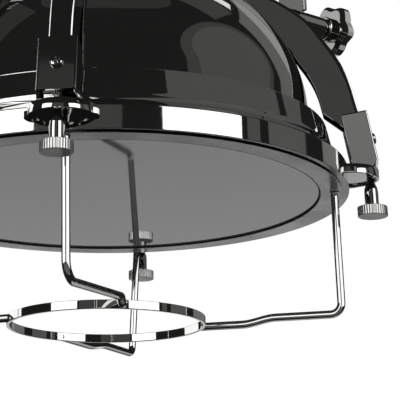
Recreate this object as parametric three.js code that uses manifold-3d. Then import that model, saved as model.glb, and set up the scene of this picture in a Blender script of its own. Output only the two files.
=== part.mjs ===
// Large dome pendant lamp in a tilting yoke, polished nickel with a clamped glass and a wire cage.
// Millimetres, +Z up. The origin is the middle of the ceiling plate's top face.
// The lamp head is built round its own axis, with height zero at the rim's lower edge.
import * as THREE from 'three';
import { mergeVertices } from 'three/addons/utils/BufferGeometryUtils.js';
import Module from 'manifold-3d';

const wasm = await Module();
wasm.setup();

// Fits and facet counts
const seatGap = 0.3;
const runningGap = 0.3;
const overrun = 4;
const largeFacets = 32;
const mediumFacets = 20;
const smallFacets = 10;
const edgeSteps = 2;
const cornerSteps = 1;
const mergeDistance = 1e-4;

// Bezel, seal and glass
const rimRadius = 250;
const bandHeight = 22;
const bandWall = 3;
const bezelLipWidth = 24;
const bezelLipThickness = 1;
const bezelLipRadius = rimRadius - bezelLipWidth;
const retainerInset = 7;
const retainerWidth = 23;
const retainerThickness = 1.2;
const retainerOuterRadius = rimRadius - retainerInset;
const retainerInnerRadius = retainerOuterRadius - retainerWidth;
const sealThickness = 0.6;
const sealWidth = 13;
const glassThickness = 5;
const glassEdgeGap = 7;
const glassRadius = rimRadius - bandWall - glassEdgeGap;

// Bell, the lower skirt between bezel and dome
const bellWall = 2;
const bellFlareWidth = 19;
const bellHeight = 41.5;
const bellShoulderRadius = rimRadius - bellFlareWidth;
const bellShoulderHeight = bandHeight + bellHeight;
const bellWaistGrowth = 1.5;
const bellEdgeRound = 1.6;
const bellFootInset = 0.5;
const bellFootWidth = 6;
const bellWaistShare = 0.64;
const bellSteps = 3;

// Dome
const domeLedgeWidth = 18;
const domeRise = 172;
const domeStraightHeight = 21.5;
const domeWall = 2.5;
const domeFootWidth = 7;
const domeSteps = 7;
const domeRadius = bellShoulderRadius - domeLedgeWidth;
const domeCentreHeight = bellShoulderHeight + domeStraightHeight;
const domeTop = domeCentreHeight + domeRise;

// Neck housing on top of the dome, with its lid and the collar that holds the arms
const neckRadius = 58;
const neckWall = 4;
const neckStand = 43;
const neckTopHeight = domeTop + neckStand;
const lidThickness = 4;
const lidOverhang = 3;
const lidRise = 14;
const lidStep = 3;
const lidCrownShares = [[0.86, 0.45], [0.6, 0.8], [0.3, 0.95]];
const collarWidth = 28;
const collarThickness = 3;
const collarArmGap = 0.7;
const collarSteps = 2;
const collarRadius = neckRadius + collarWidth;

// Arms, channels that run down over the dome from the collar to the clamps
const armCount = 4;
const firstArmAngle = Math.PI / 4;
const armWidth = 22;
const armDepth = 33;
const armWall = 2.5;
const armEdgeRound = 5;
const armHeadroom = 15;
const armCentreDrop = 10;
const armTilt = THREE.MathUtils.degToRad(8.8);
const armDomeClearance = 1.5;
const armBlockGap = 1.2;
const armSteps = 12;
const armFootShares = [1 / 3, 2 / 3, 1];
const armRise = domeRise + armHeadroom;
const armCentreHeight = domeCentreHeight - armCentreDrop;

// Clamp brackets, their screws and the blocks that take the thumb screws
const bracketOverhang = 30.8;
const bracketBandGap = 5;
const bracketLength = 53;
const bracketSideGap = 4.5;
const bracketDepth = 27;
const bracketWall = 2.5;
const bracketEdgeRound = 2;
const bracketCornerRound = 4;
const bracketFootRadius = rimRadius + bracketOverhang;
const bracketFootHeight = bandHeight + bracketBandGap;
const bracketWidth = armWidth + 2 * (bracketSideGap + bracketWall);

// The arm's ellipse reaches just so far that its outer face runs down inside the bracket's web.
const footDrop = armCentreHeight - bracketFootHeight;
const footSupport = bracketFootRadius * Math.cos(armTilt) - footDrop * Math.sin(armTilt);
const armSupport = footSupport - bracketWall - seatGap;
const armReach = Math.sqrt(armSupport ** 2 - (armRise * Math.sin(armTilt)) ** 2) / Math.cos(armTilt);
const blockHeight = 7;
const blockDepth = 13;
const blockInset = 2.5;
const bracketScrewHeadRadius = 6;
const bracketScrewHeadRise = 3.4;
const bracketScrewShankRadius = 3;
const bracketScrewShankLength = 9;
const bracketScrewShare = 0.5;
const crossRecessLength = 5.6;
const crossRecessWidth = 1.4;
const crossRecessDepth = 1.6;

// Lugs on the bezel and the knurled thumb screws that go up through them
const lugWall = 6.05;
const lugThickness = 9.3;
const lugDrop = 2;
const lugTop = bandHeight - lugDrop;
const lugUnderside = lugTop - lugThickness;
const thumbScrewInset = 9.2;
const thumbScrewRadius = bracketFootRadius - thumbScrewInset;
const threadRadius = 2.8;
const lugRadius = thumbScrewRadius - rimRadius + threadRadius + runningGap + lugWall;
const threadBite = 4.5;
const threadEndHeight = bracketFootHeight + blockInset + threadBite;
const shankTopRadius = 4.75;
const shankRadius = 7.35;
const shankConeHeight = 11;
const shankLength = 25.2;
const headRadius = 15;
const headThickness = 9.8;
const headTopHeight = lugUnderside - shankLength;
const headChamfer = 0.8;
const knurlDepth = 0.7;
const knurlCount = 16;

// Cage
const cageRingRadius = 100;
const cageRingHeight = 8.5;
const cageRingWall = 3;
const cageDepth = 122.8;
const rodRadius = 4;
const rodInset = 8;
const rodBendRadius = 15;
const rodDip = 2.7;
const rodDipLength = 16;
const rodDipFromRing = 26;
const rodRunTurn = THREE.MathUtils.degToRad(13.5);
const rodFootRadius = 7;
const rodFootThickness = 2;
const rodFacets = 8;
const rodSteps = 22;
const bendSteps = 4;
const rodCircleRadius = retainerOuterRadius - rodInset;
const rodRunHeight = -cageDepth;
const rodEndHeight = rodRunHeight - rodDip;
const cageRingBottom = rodEndHeight - cageRingHeight / 2;

// Pivot shafts, yoke sleeves and hand knobs
const pivotRise = 11;
const pivotHeight = domeTop + pivotRise;
const shaftRadius = 9;
const shaftFlangeWidth = 3.5;
const shaftFlangeRadius = shaftRadius + shaftFlangeWidth;
const shaftFlangeThickness = 5;
const studShoulder = 4;
const studRadius = shaftRadius - studShoulder;
const studLength = 16;
const sleeveWall = 3.7;
const sleeveRadius = shaftRadius + runningGap + sleeveWall;
const washerOverhang = 4;
const washerRadius = sleeveRadius + washerOverhang;
const washerThickness = 4;
const knobHubRadius = 14;
const knobHubLength = 9;
const knobTipRadius = 30;
const knobLobeDepth = 5;
const knobThickness = 17;
const knobChamfer = 3;
const knobLobes = 6;
const knobLobeSteps = 4;
const knobCapRadius = 11;
const knobCapLength = 5;
const knobValleyRadius = knobTipRadius - knobLobeDepth;

// Yoke
const yokeSideGap = 33;
const strapPlane = rimRadius + yokeSideGap;
const strapWidth = 44;
const strapThickness = 5;
const yokeRise = 142;
const yokeBendRadius = 60;
const yokeBendSteps = 6;
const sleeveInward = 21;
const sleeveOutward = 44;
const sleeveInnerEnd = strapPlane - sleeveInward;
const sleeveOuterEnd = strapPlane + sleeveOutward;

// Swivel, stem and ceiling fittings
const stemRadius = 11;
const stemWall = 2;
const stemLength = 262;
const swivelShoulder = 8;
const swivelRadius = stemRadius + swivelShoulder;
const swivelHubHeight = 14;
const swivelSocketHeight = 24;
const swivelPinRadius = 7;
const swivelPinHeadWidth = 4;
const swivelPinHead = swivelPinRadius + swivelPinHeadWidth;
const swivelPinHeadHeight = 5;
const swivelPinLength = 16;
const canopyRadius = 65;
const canopyDepth = 30;
const canopyWall = 2;
const canopyBowlShares = [[1, 0.35], [0.93, 0.6], [0.72, 0.82]];
const canopyCollarWall = 4.7;
const canopyCollarRadius = stemRadius + seatGap + canopyCollarWall;
const canopyCollarHeight = 9;
const plateEdgeGap = 5;
const plateRadius = canopyRadius - canopyWall - plateEdgeGap;
const plateThickness = 4;
const plateHoleRadius = 3;
const plateHoleInset = 13;
const plateHolePlace = plateRadius - plateHoleInset;
const cableHoleRadius = 7;
const cableHoleGap = 8;
const cableHolePlace = stemRadius + cableHoleGap + cableHoleRadius;

// Lampholder, bulb and reflector inside the dome
const holderRadius = 22;
const holderLength = 46;
const holderPlateThickness = 3;
const holderPlateGap = 2;
const holderPlateRadius = neckRadius - neckWall - holderPlateGap;
const holderSeatWidth = 6;
const domeMouthRadius = holderPlateRadius - holderSeatWidth;
const bulbNeckRadius = 13;
const bulbRadius = 32;
const bulbLength = 108;
const bulbCapDepth = 20;
const bulbSteps = 6;
const bulbShoulder = Math.PI / 5;
const reflectorWall = 2;
const reflectorRimGap = 2;
const reflectorSeatWidth = 8;
const reflectorLipWidth = 2;
const reflectorTopGap = 18;
const bellShelfRadius = domeRadius - domeFootWidth - reflectorSeatWidth;
const reflectorMouthRadius = bellShelfRadius - reflectorLipWidth;
const reflectorTopRadius = holderRadius + reflectorTopGap;
const reflectorCurve = 2.5;
const reflectorSteps = 4;

// Heights that follow from the sizes above
const sealBottom = bezelLipThickness + seatGap;
const glassBottom = sealBottom + sealThickness + seatGap;
const bellFoot = bandHeight + seatGap;
const domeFoot = bellShoulderHeight + seatGap;
const stemTop = -plateThickness - seatGap;
const swivelTop = stemTop - stemLength;
const swivelSeam = swivelTop - swivelSocketHeight;
const yokeTop = swivelSeam - 2 * seatGap - swivelHubHeight;
const pivotDrop = yokeTop - yokeRise;

const finishes = {
  nickel: { color: 0xb9b9b6, roughness: 0.12, metalness: 1 },
  satinNickel: { color: 0xd2d1ce, roughness: 0.38, metalness: 1 },
  spunAluminium: { color: 0xdadada, roughness: 0.3, metalness: 1 },
  glass: { color: 0x8f9092, roughness: 0.08, metalness: 0.2 },
  seal: { color: 0x101010, roughness: 0.8, metalness: 0 },
  porcelain: { color: 0xefece4, roughness: 0.4, metalness: 0 },
  bulb: { color: 0xf4f1e8, roughness: 0.25, metalness: 0 },
};

// A closed body with merged corners, no empty triangles and its faces turned outwards.
function closedBody(geometry) {
  const plain = geometry.clone();
  for (const name of ['normal', 'uv']) plain.deleteAttribute(name);
  const merged = mergeVertices(plain, mergeDistance);
  const corners = merged.index.array;
  const kept = [];
  for (let i = 0; i < corners.length; i += 3) {
    const [a, b, c] = [corners[i], corners[i + 1], corners[i + 2]];
    if (a !== b && b !== c && a !== c) kept.push(a, b, c);
  }
  const place = merged.attributes.position;
  const [p, q, r] = [new THREE.Vector3(), new THREE.Vector3(), new THREE.Vector3()];
  let volume = 0;
  for (let i = 0; i < kept.length; i += 3) {
    p.fromBufferAttribute(place, kept[i]);
    q.fromBufferAttribute(place, kept[i + 1]);
    r.fromBufferAttribute(place, kept[i + 2]);
    volume += p.dot(q.cross(r));
  }
  merged.setIndex(volume < 0 ? kept.reverse() : kept);
  return merged;
}

function toSolid(geometry) {
  const body = closedBody(geometry);
  const vertProperties = new Float32Array(body.attributes.position.array);
  const triVerts = new Uint32Array(body.index.array);
  return new wasm.Manifold(new wasm.Mesh({ numProp: 3, vertProperties, triVerts }));
}

function toGeometry(solid) {
  const mesh = solid.getMesh();
  const geometry = new THREE.BufferGeometry();
  const places = [];
  for (let i = 0; i < mesh.vertProperties.length; i += mesh.numProp) {
    for (let axis = 0; axis < 3; axis += 1) places.push(mesh.vertProperties[i + axis]);
  }
  geometry.setAttribute('position', new THREE.Float32BufferAttribute(places, 3));
  geometry.setIndex(Array.from(mesh.triVerts));
  return geometry;
}

function cut(body, ...tools) {
  let solid = toSolid(body);
  for (const tool of tools) solid = solid.subtract(toSolid(tool));
  return toGeometry(solid);
}

function join(body, ...others) {
  let solid = toSolid(body);
  for (const other of others) solid = solid.add(toSolid(other));
  return toGeometry(solid);
}

// Turned piece from [radius, height] pairs round the Z axis. A closed outline ends where it starts.
function turned(outline, facets) {
  const points = outline.map(([radius, height]) => new THREE.Vector2(radius, height));
  return new THREE.LatheGeometry(points, facets).rotateX(Math.PI / 2);
}

function closedOutline(outline) {
  return [...outline, outline[0]];
}

function tube(innerRadius, outerRadius, bottom, top, facets) {
  const outline = [[innerRadius, bottom], [outerRadius, bottom], [outerRadius, top], [innerRadius, top]];
  return turned(closedOutline(outline), facets);
}

function disc(radius, bottom, top, facets) {
  return turned([[0, bottom], [radius, bottom], [radius, top], [0, top]], facets);
}

function extruded(shape, depth) {
  return new THREE.ExtrudeGeometry(shape, { depth, bevelEnabled: false, curveSegments: cornerSteps });
}

function swept(shape, path, steps) {
  const options = { steps, extrudePath: path, bevelEnabled: false, curveSegments: cornerSteps };
  return new THREE.ExtrudeGeometry(shape, options);
}

function box(width, depth, height, x, y, z) {
  return new THREE.BoxGeometry(width, depth, height).translate(x, y, z);
}

function piece(name, geometry, finish) {
  const mesh = new THREE.Mesh(closedBody(geometry), new THREE.MeshStandardMaterial(finishes[finish]));
  mesh.name = name;
  return mesh;
}

// Height of the dome's outside at a radius, and its outline from a radius down to the foot.
function domeHeightAt(radius, offset = 0) {
  const share = radius / (domeRadius + offset);
  return domeCentreHeight + (domeRise + offset) * Math.sqrt(1 - share * share);
}

function domeArc(offset, fromRadius) {
  const reach = domeRadius + offset;
  const start = Math.asin(fromRadius / reach);
  const outline = [];
  for (let i = 0; i <= domeSteps; i += 1) {
    const angle = start + (Math.PI / 2 - start) * (i / domeSteps);
    outline.push([reach * Math.sin(angle), domeCentreHeight + (domeRise + offset) * Math.cos(angle)]);
  }
  return outline;
}

function makeDome() {
  const land = (offset) => [domeMouthRadius, domeHeightAt(domeMouthRadius, offset)];
  const outside = [land(0), ...domeArc(0, holderPlateRadius), [domeRadius, domeFoot]];
  const footInner = domeRadius - domeFootWidth;
  const inside = [land(-domeWall), ...domeArc(-domeWall, holderPlateRadius)].reverse();
  const foot = [[footInner, domeFoot], [footInner, domeFoot + domeWall]];
  const rise = [[domeRadius - domeWall, domeFoot + domeWall]];
  return turned(closedOutline([...outside, ...foot, ...rise, ...inside]), largeFacets);
}

// Bell: a shoulder that the dome and the reflector's rim stand on, a waist and a flare out to the bezel.
function makeBell() {
  const waistRadius = bellShoulderRadius + bellWaistGrowth;
  const flareTop = bellFoot + (bellShoulderHeight - bellFoot) * bellWaistShare;
  const flareBottom = bellFoot + bellWall;
  const footRadius = rimRadius - bellFootInset;
  const edge = [];
  for (let i = 0; i <= edgeSteps; i += 1) {
    const angle = (Math.PI / 2) * (1 - i / edgeSteps);
    edge.push([
      bellShoulderRadius - bellEdgeRound + bellEdgeRound * Math.cos(angle),
      bellShoulderHeight - bellEdgeRound + bellEdgeRound * Math.sin(angle),
    ]);
  }
  const flare = [];
  for (let i = 0; i <= bellSteps; i += 1) {
    const down = i / bellSteps;
    const out = 1 - Math.cos((Math.PI / 2) * down);
    flare.push([waistRadius + (footRadius - waistRadius) * out, flareTop + (flareBottom - flareTop) * down]);
  }
  const inner = flare.map(([radius, height]) => [radius - bellWall, height]).reverse();
  const outline = [
    [bellShelfRadius, bellShoulderHeight],
    ...edge,
    ...flare,
    [footRadius, bellFoot],
    [footRadius - bellFootWidth, bellFoot],
    [footRadius - bellFootWidth, flareBottom],
    ...inner,
    [bellShoulderRadius - bellWall, bellShoulderHeight - bellWall],
    [bellShelfRadius, bellShoulderHeight - bellWall],
  ];
  return turned(closedOutline(outline), largeFacets);
}

// Bezel: the band round the rim with a lip under the glass and a round lug at each clamp.
function makeBezel() {
  const bandInner = rimRadius - bandWall;
  const outline = [
    [bezelLipRadius, 0],
    [rimRadius, 0],
    [rimRadius, bandHeight],
    [bandInner, bandHeight],
    [bandInner, bezelLipThickness],
    [bezelLipRadius, bezelLipThickness],
  ];
  let bezel = turned(closedOutline(outline), largeFacets);
  const core = disc(rimRadius - bandWall / 2, lugUnderside - overrun, lugTop + overrun, largeFacets);
  forEachArm((angle) => {
    const lug = disc(lugRadius, lugUnderside, lugTop, mediumFacets).translate(rimRadius, 0, 0);
    const hole = disc(threadRadius + runningGap, lugUnderside - overrun, lugTop + overrun, smallFacets);
    const trimmed = cut(lug.rotateZ(angle), core, hole.translate(thumbScrewRadius, 0, 0).rotateZ(angle));
    bezel = join(bezel, trimmed);
  });
  return bezel;
}

function makeRetainer() {
  return tube(retainerInnerRadius, retainerOuterRadius, -seatGap - retainerThickness, -seatGap, largeFacets);
}

function makeSeal() {
  const top = sealBottom + sealThickness;
  return tube(bezelLipRadius, bezelLipRadius + sealWidth, sealBottom, top, mediumFacets);
}

function makeGlass() {
  return disc(glassRadius, glassBottom, glassBottom + glassThickness, largeFacets);
}

// Arm path in the XZ plane: an ellipse over the dome, then straight down along the bracket.
function armOuterPoint(angle) {
  return [armReach * Math.sin(angle), armCentreHeight + armRise * Math.cos(angle)];
}

const armBlockTop = bracketFootHeight + blockInset + blockHeight;

function armPath() {
  const startAngle = Math.asin((neckRadius + seatGap) / armReach);
  const endAngle = Math.atan2(armReach, armRise * Math.tan(armTilt));
  const points = [];
  const half = armDepth / 2;
  for (let i = 0; i <= armSteps; i += 1) {
    const angle = startAngle + (endAngle - startAngle) * (i / armSteps);
    const [x, z] = armOuterPoint(angle);
    const normal = new THREE.Vector2(Math.sin(angle) / armReach, Math.cos(angle) / armRise).normalize();
    points.push(new THREE.Vector3(x - half * normal.x, 0, z - half * normal.y));
  }
  const last = points[points.length - 1];
  const fall = last.z - armBlockTop - armBlockGap - half * Math.sin(armTilt);
  const end = new THREE.Vector3(last.x + fall * Math.tan(armTilt), 0, last.z - fall);
  const straight = armFootShares.map((share) => last.clone().lerp(end, share));
  return new THREE.CatmullRomCurve3([...points, ...straight], false, 'centripetal');
}

function armSection() {
  const [x, y] = [armWidth / 2, armDepth / 2];
  const [innerX, innerY] = [x - armWall, armWall - y];
  const shape = new THREE.Shape();
  shape.moveTo(-x, y);
  shape.lineTo(-x, armEdgeRound - y);
  shape.absarc(armEdgeRound - x, armEdgeRound - y, armEdgeRound, Math.PI, 1.5 * Math.PI, false);
  shape.absarc(x - armEdgeRound, armEdgeRound - y, armEdgeRound, -Math.PI / 2, 0, false);
  shape.lineTo(x, y);
  shape.lineTo(innerX, y);
  shape.lineTo(innerX, innerY);
  shape.lineTo(-innerX, innerY);
  shape.lineTo(-innerX, y);
  shape.closePath();
  return shape;
}

function makeArm() {
  const channel = swept(armSection(), armPath(), armSteps + armFootShares.length);
  const clearance = armDomeClearance;
  const overDome = domeArc(clearance, holderPlateRadius);
  const reach = domeRadius + clearance;
  const domeTool = turned([[0, overDome[0][1]], ...overDome, [reach, 0], [0, 0]], largeFacets);
  const neckTool = disc(neckRadius + seatGap, 0, neckTopHeight, largeFacets);
  const screwTool = disc(bracketScrewShankRadius + seatGap, -bracketDepth / 2, 0, smallFacets);
  screwTool.rotateY(Math.PI / 2).translate(0, 0, bracketLength * bracketScrewShare);
  const screwHole = bracketFrame(screwTool);
  return cut(channel, domeTool, neckTool, screwHole);
}

// Collar that clamps the upper ends of the arms against the neck, notched under the two shafts.
function makeCollar() {
  const innerRadius = neckRadius + seatGap;
  const lower = [];
  for (let i = 0; i <= collarSteps; i += 1) {
    const radius = innerRadius + (collarRadius - innerRadius) * (i / collarSteps);
    lower.push([radius, armOuterPoint(Math.asin(radius / armReach))[1] + collarArmGap]);
  }
  const upper = lower.map(([radius, height]) => [radius, height + collarThickness]).reverse();
  const collar = turned(closedOutline([...lower, ...upper]), mediumFacets);
  const flangeEnd = neckRadius + 2 * (shaftFlangeThickness + seatGap);
  const notches = [1, -1].flatMap((side) => {
    const flangeNotch = disc(shaftFlangeRadius + seatGap, 0, flangeEnd, mediumFacets);
    const shaftNotch = disc(shaftRadius + seatGap, 0, collarRadius + overrun, mediumFacets);
    return [flangeNotch, shaftNotch].map((notch) => {
      return notch.rotateY((side * Math.PI) / 2).translate(0, 0, pivotHeight);
    });
  });
  return cut(collar, ...notches);
}

// Neck: a turned wall over the dome's mouth with a boss on each side for a pivot shaft.
const neckFoot = domeHeightAt(neckRadius - neckWall) + seatGap;

function makeNeck() {
  const innerRadius = neckRadius - neckWall;
  const wall = tube(innerRadius, neckRadius, neckFoot, neckTopHeight, mediumFacets);
  const bossEnd = neckRadius + shaftFlangeThickness;
  const bosses = [1, -1].map((side) => {
    const boss = disc(shaftFlangeRadius, innerRadius + neckWall / 2, bossEnd, smallFacets);
    return boss.rotateY((side * Math.PI) / 2).translate(0, 0, pivotHeight);
  });
  const core = disc(innerRadius, neckFoot, neckTopHeight, mediumFacets);
  return cut(join(wall, ...bosses), core);
}

function makeLid() {
  const radius = neckRadius + lidOverhang;
  const bottom = neckTopHeight + seatGap;
  const edge = bottom + lidThickness;
  const crown = neckRadius - neckWall;
  return turned([
    [0, bottom],
    [radius, bottom],
    [radius, edge],
    [crown, edge + lidStep],
    ...lidCrownShares.map(([out, up]) => [crown * out, edge + lidStep + lidRise * up]),
    [0, edge + lidStep + lidRise],
  ], mediumFacets);
}

// Shaft that carries the head on one side: a flange on the neck's boss, the shaft and a threaded stud.
function makeShaft(side) {
  const start = neckRadius + shaftFlangeThickness + seatGap;
  const flangeEnd = start + shaftFlangeThickness;
  const shoulder = sleeveOuterEnd + seatGap + washerThickness;
  const end = shoulder + studLength;
  const outline = [
    [0, start],
    [shaftFlangeRadius, start],
    [shaftFlangeRadius, flangeEnd],
    [shaftRadius, flangeEnd],
    [shaftRadius, sleeveOuterEnd],
    [studRadius, sleeveOuterEnd],
    [studRadius, end],
    [0, end],
  ];
  return turned(outline, smallFacets).rotateY((side * Math.PI) / 2);
}

// Clamp bracket: a channel open towards the dome, leaning with the arm, with round upper corners.
function bracketFrame(geometry) {
  return geometry.rotateY(-armTilt).translate(bracketFootRadius, 0, bracketFootHeight);
}

function makeBracket() {
  const [y, wall, round] = [bracketWidth / 2, bracketWall, bracketEdgeRound];
  const section = new THREE.Shape();
  section.moveTo(-bracketDepth, -y);
  section.lineTo(-round, -y);
  section.absarc(-round, round - y, round, -Math.PI / 2, 0, false);
  section.absarc(-round, y - round, round, 0, Math.PI / 2, false);
  section.lineTo(-bracketDepth, y);
  section.lineTo(-bracketDepth, y - wall);
  section.lineTo(-wall, y - wall);
  section.lineTo(-wall, wall - y);
  section.lineTo(-bracketDepth, wall - y);
  section.closePath();
  const channel = extruded(section, bracketLength);
  const face = new THREE.Shape();
  const corner = bracketCornerRound;
  const [low, high] = [-overrun, bracketLength];
  face.moveTo(-y - overrun, low);
  face.lineTo(y + overrun, low);
  face.lineTo(y + overrun, high - corner - wall);
  face.lineTo(y, high - corner - wall);
  face.absarc(y - corner, high - corner, corner, 0, Math.PI / 2, false);
  face.absarc(corner - y, high - corner, corner, Math.PI / 2, Math.PI, false);
  face.lineTo(-y, high - corner - wall);
  face.lineTo(-y - overrun, high - corner - wall);
  face.closePath();
  const span = bracketDepth + 2 * overrun;
  const mask = extruded(face, span).rotateX(Math.PI / 2).rotateZ(Math.PI / 2);
  mask.translate(overrun - span, 0, 0);
  const rounded = toGeometry(toSolid(channel).intersect(toSolid(mask)));
  const screwHole = disc(bracketScrewShankRadius + seatGap, -bracketWall - overrun, overrun, smallFacets);
  screwHole.rotateY(Math.PI / 2).translate(0, 0, bracketLength * bracketScrewShare);
  return bracketFrame(cut(rounded, screwHole));
}

// Round-headed screw with a cross recess, through the bracket into the arm's web.
function makeBracketScrew() {
  const dome = [];
  for (let i = 0; i <= edgeSteps; i += 1) {
    const angle = (Math.PI / 2) * (i / edgeSteps);
    dome.push([bracketScrewHeadRadius * Math.cos(angle), seatGap + bracketScrewHeadRise * Math.sin(angle)]);
  }
  dome[dome.length - 1][0] = 0;
  const shankEnd = -bracketScrewShankLength;
  const screw = turned([
    [0, shankEnd],
    [bracketScrewShankRadius, shankEnd],
    [bracketScrewShankRadius, seatGap],
    ...dome,
  ], smallFacets);
  const top = seatGap + bracketScrewHeadRise;
  const slots = [0, Math.PI / 2].map((turn) => {
    const slot = box(crossRecessLength, crossRecessWidth, 2 * crossRecessDepth, 0, 0, top);
    return slot.rotateZ(turn);
  });
  const recessed = cut(screw, ...slots).rotateY(Math.PI / 2);
  return bracketFrame(recessed.translate(0, 0, bracketLength * bracketScrewShare));
}

// Block across the foot of the bracket, threaded for the thumb screw, with the arm standing over it.
function makeBlock() {
  const width = bracketWidth - 2 * bracketWall - 2 * seatGap;
  const bottom = bracketFootHeight + blockInset;
  const footRise = blockInset + blockHeight;
  const front = bracketFootRadius - bracketWall / Math.cos(armTilt) - seatGap - footRise * Math.tan(armTilt);
  const middle = bottom + blockHeight / 2;
  const block = box(blockDepth, width, blockHeight, front - blockDepth / 2, 0, middle);
  const bore = disc(threadRadius + runningGap, bottom - overrun, bottom + blockHeight + overrun, smallFacets);
  return cut(block, bore.translate(thumbScrewRadius, 0, 0));
}

// Thumb screw: knurled head, shank that tapers up to the lug, and a threaded end.
function makeThumbScrew() {
  const shoulder = lugUnderside - seatGap;
  const coneFoot = shoulder - shankConeHeight;
  const shank = turned([
    [0, headTopHeight - headChamfer],
    [shankRadius, headTopHeight - headChamfer],
    [shankRadius, coneFoot],
    [shankTopRadius, shoulder],
    [threadRadius, shoulder],
    [threadRadius, threadEndHeight],
    [0, threadEndHeight],
  ], smallFacets);
  const knurl = new THREE.Shape();
  for (let i = 0; i < 2 * knurlCount; i += 1) {
    const angle = (Math.PI * i) / knurlCount;
    const radius = headRadius - (i % 2) * knurlDepth;
    const point = [radius * Math.cos(angle), radius * Math.sin(angle)];
    if (i === 0) knurl.moveTo(...point);
    else knurl.lineTo(...point);
  }
  knurl.closePath();
  const head = extruded(knurl, headThickness).translate(0, 0, headTopHeight - headThickness);
  const blank = turned([
    [0, headTopHeight - headThickness],
    [headRadius - headChamfer, headTopHeight - headThickness],
    [headRadius, headTopHeight - headThickness + headChamfer],
    [headRadius, headTopHeight - headChamfer],
    [headRadius - headChamfer, headTopHeight],
    [0, headTopHeight],
  ], 2 * knurlCount);
  const knurledHead = toGeometry(toSolid(head).intersect(toSolid(blank)));
  return join(shank, knurledHead).translate(thumbScrewRadius, 0, 0);
}

function makeCageRing() {
  const top = cageRingBottom + cageRingHeight;
  return tube(cageRingRadius - cageRingWall, cageRingRadius, cageRingBottom, top, largeFacets);
}

// Cage rod: down from the retaining ring, round a bend, inwards at a slight turn and down a dip to the ring.
function rodPath() {
  const top = -seatGap - retainerThickness - seatGap;
  const inward = new THREE.Vector3(-Math.cos(rodRunTurn), Math.sin(rodRunTurn), 0);
  const foot = new THREE.Vector3(rodCircleRadius, 0, 0);
  const offset = rodCircleRadius * Math.sin(rodRunTurn);
  const along = rodCircleRadius * Math.cos(rodRunTurn);
  const weldRadius = cageRingRadius - cageRingWall;
  const reach = along - Math.sqrt(weldRadius ** 2 - offset ** 2);
  const points = [new THREE.Vector3(rodCircleRadius, 0, top)];
  const bendTop = rodRunHeight + rodBendRadius;
  points.push(new THREE.Vector3(rodCircleRadius, 0, (top + bendTop) / 2));
  for (let i = 0; i <= bendSteps; i += 1) {
    const angle = (Math.PI / 2) * (i / bendSteps);
    const run = rodBendRadius * (1 - Math.cos(angle));
    const drop = rodBendRadius * Math.sin(angle);
    points.push(foot.clone().addScaledVector(inward, run).setZ(bendTop - drop));
  }
  const dipEnd = reach - rodDipFromRing;
  const dipStart = dipEnd - rodDipLength;
  points.push(foot.clone().addScaledVector(inward, (rodBendRadius + dipStart) / 2).setZ(rodRunHeight));
  for (let i = 0; i <= bendSteps; i += 1) {
    const share = i / bendSteps;
    const fall = (1 - Math.cos(Math.PI * share)) / 2;
    const run = dipStart + rodDipLength * share;
    const height = rodRunHeight + (rodEndHeight - rodRunHeight) * fall;
    points.push(foot.clone().addScaledVector(inward, run).setZ(height));
  }
  points.push(foot.clone().addScaledVector(inward, reach).setZ(rodEndHeight));
  return points;
}

function makeRod() {
  const points = rodPath();
  const section = new THREE.Shape();
  section.absarc(0, 0, rodRadius, 0, 2 * Math.PI, false);
  const path = new THREE.CatmullRomCurve3(points, false, 'centripetal');
  const rod = new THREE.ExtrudeGeometry(section, {
    steps: rodSteps,
    extrudePath: path,
    bevelEnabled: false,
    curveSegments: rodFacets / 2,
  });
  const top = points[0].z;
  const foot = disc(rodFootRadius, top - rodFootThickness, top, smallFacets).translate(rodCircleRadius, 0, 0);
  const [bottom, above] = [cageRingBottom - overrun, rodRunHeight + overrun];
  return cut(join(rod, foot), disc(cageRingRadius + seatGap, bottom, above, 2 * largeFacets));
}

// Yoke: a flat bar bent into a U, welded at each end to a sleeve that the shaft turns in.
function yokePath() {
  const bottom = sleeveRadius / 2;
  const corner = strapPlane - yokeBendRadius;
  const top = yokeRise - strapThickness / 2;
  const side = [new THREE.Vector3(-strapPlane, 0, bottom)];
  for (let i = 0; i <= yokeBendSteps; i += 1) {
    const angle = (Math.PI / 2) * (i / yokeBendSteps);
    side.push(new THREE.Vector3(
      -corner - yokeBendRadius * Math.cos(angle),
      0,
      top - yokeBendRadius + yokeBendRadius * Math.sin(angle),
    ));
  }
  const mirrored = side.map((point) => new THREE.Vector3(-point.x, 0, point.z)).reverse();
  return [...side, ...mirrored];
}

function makeYokeBar() {
  const points = yokePath();
  const outline = new THREE.Shape();
  const half = strapThickness / 2;
  const outer = [];
  const inner = [];
  for (let i = 0; i < points.length; i += 1) {
    const before = points[Math.max(i - 1, 0)];
    const after = points[Math.min(i + 1, points.length - 1)];
    const along = after.clone().sub(before).normalize();
    outer.push([points[i].x - half * along.z, points[i].z + half * along.x]);
    inner.push([points[i].x + half * along.z, points[i].z - half * along.x]);
  }
  const ring = [...outer, ...inner.reverse()];
  ring.forEach(([x, z], index) => (index === 0 ? outline.moveTo(x, z) : outline.lineTo(x, z)));
  outline.closePath();
  const flat = extruded(outline, strapWidth).rotateX(Math.PI / 2).translate(0, strapWidth / 2, 0);
  const saddles = [1, -1].map((side) => {
    const [inner, outer] = [sleeveInnerEnd - overrun, sleeveOuterEnd + overrun];
    return disc(sleeveRadius + seatGap, inner, outer, mediumFacets).rotateY((side * Math.PI) / 2);
  });
  const pinHole = disc(swivelPinRadius + seatGap, 0, yokeRise + overrun, mediumFacets);
  return cut(flat, ...saddles, pinHole);
}

function makeSleeve(side) {
  const bore = shaftRadius + runningGap;
  return tube(bore, sleeveRadius, sleeveInnerEnd, sleeveOuterEnd, mediumFacets).rotateY((side * Math.PI) / 2);
}

function makeWasher(side) {
  const start = sleeveOuterEnd + seatGap;
  const bore = studRadius + runningGap;
  return tube(bore, washerRadius, start, start + washerThickness, mediumFacets).rotateY((side * Math.PI) / 2);
}

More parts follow.
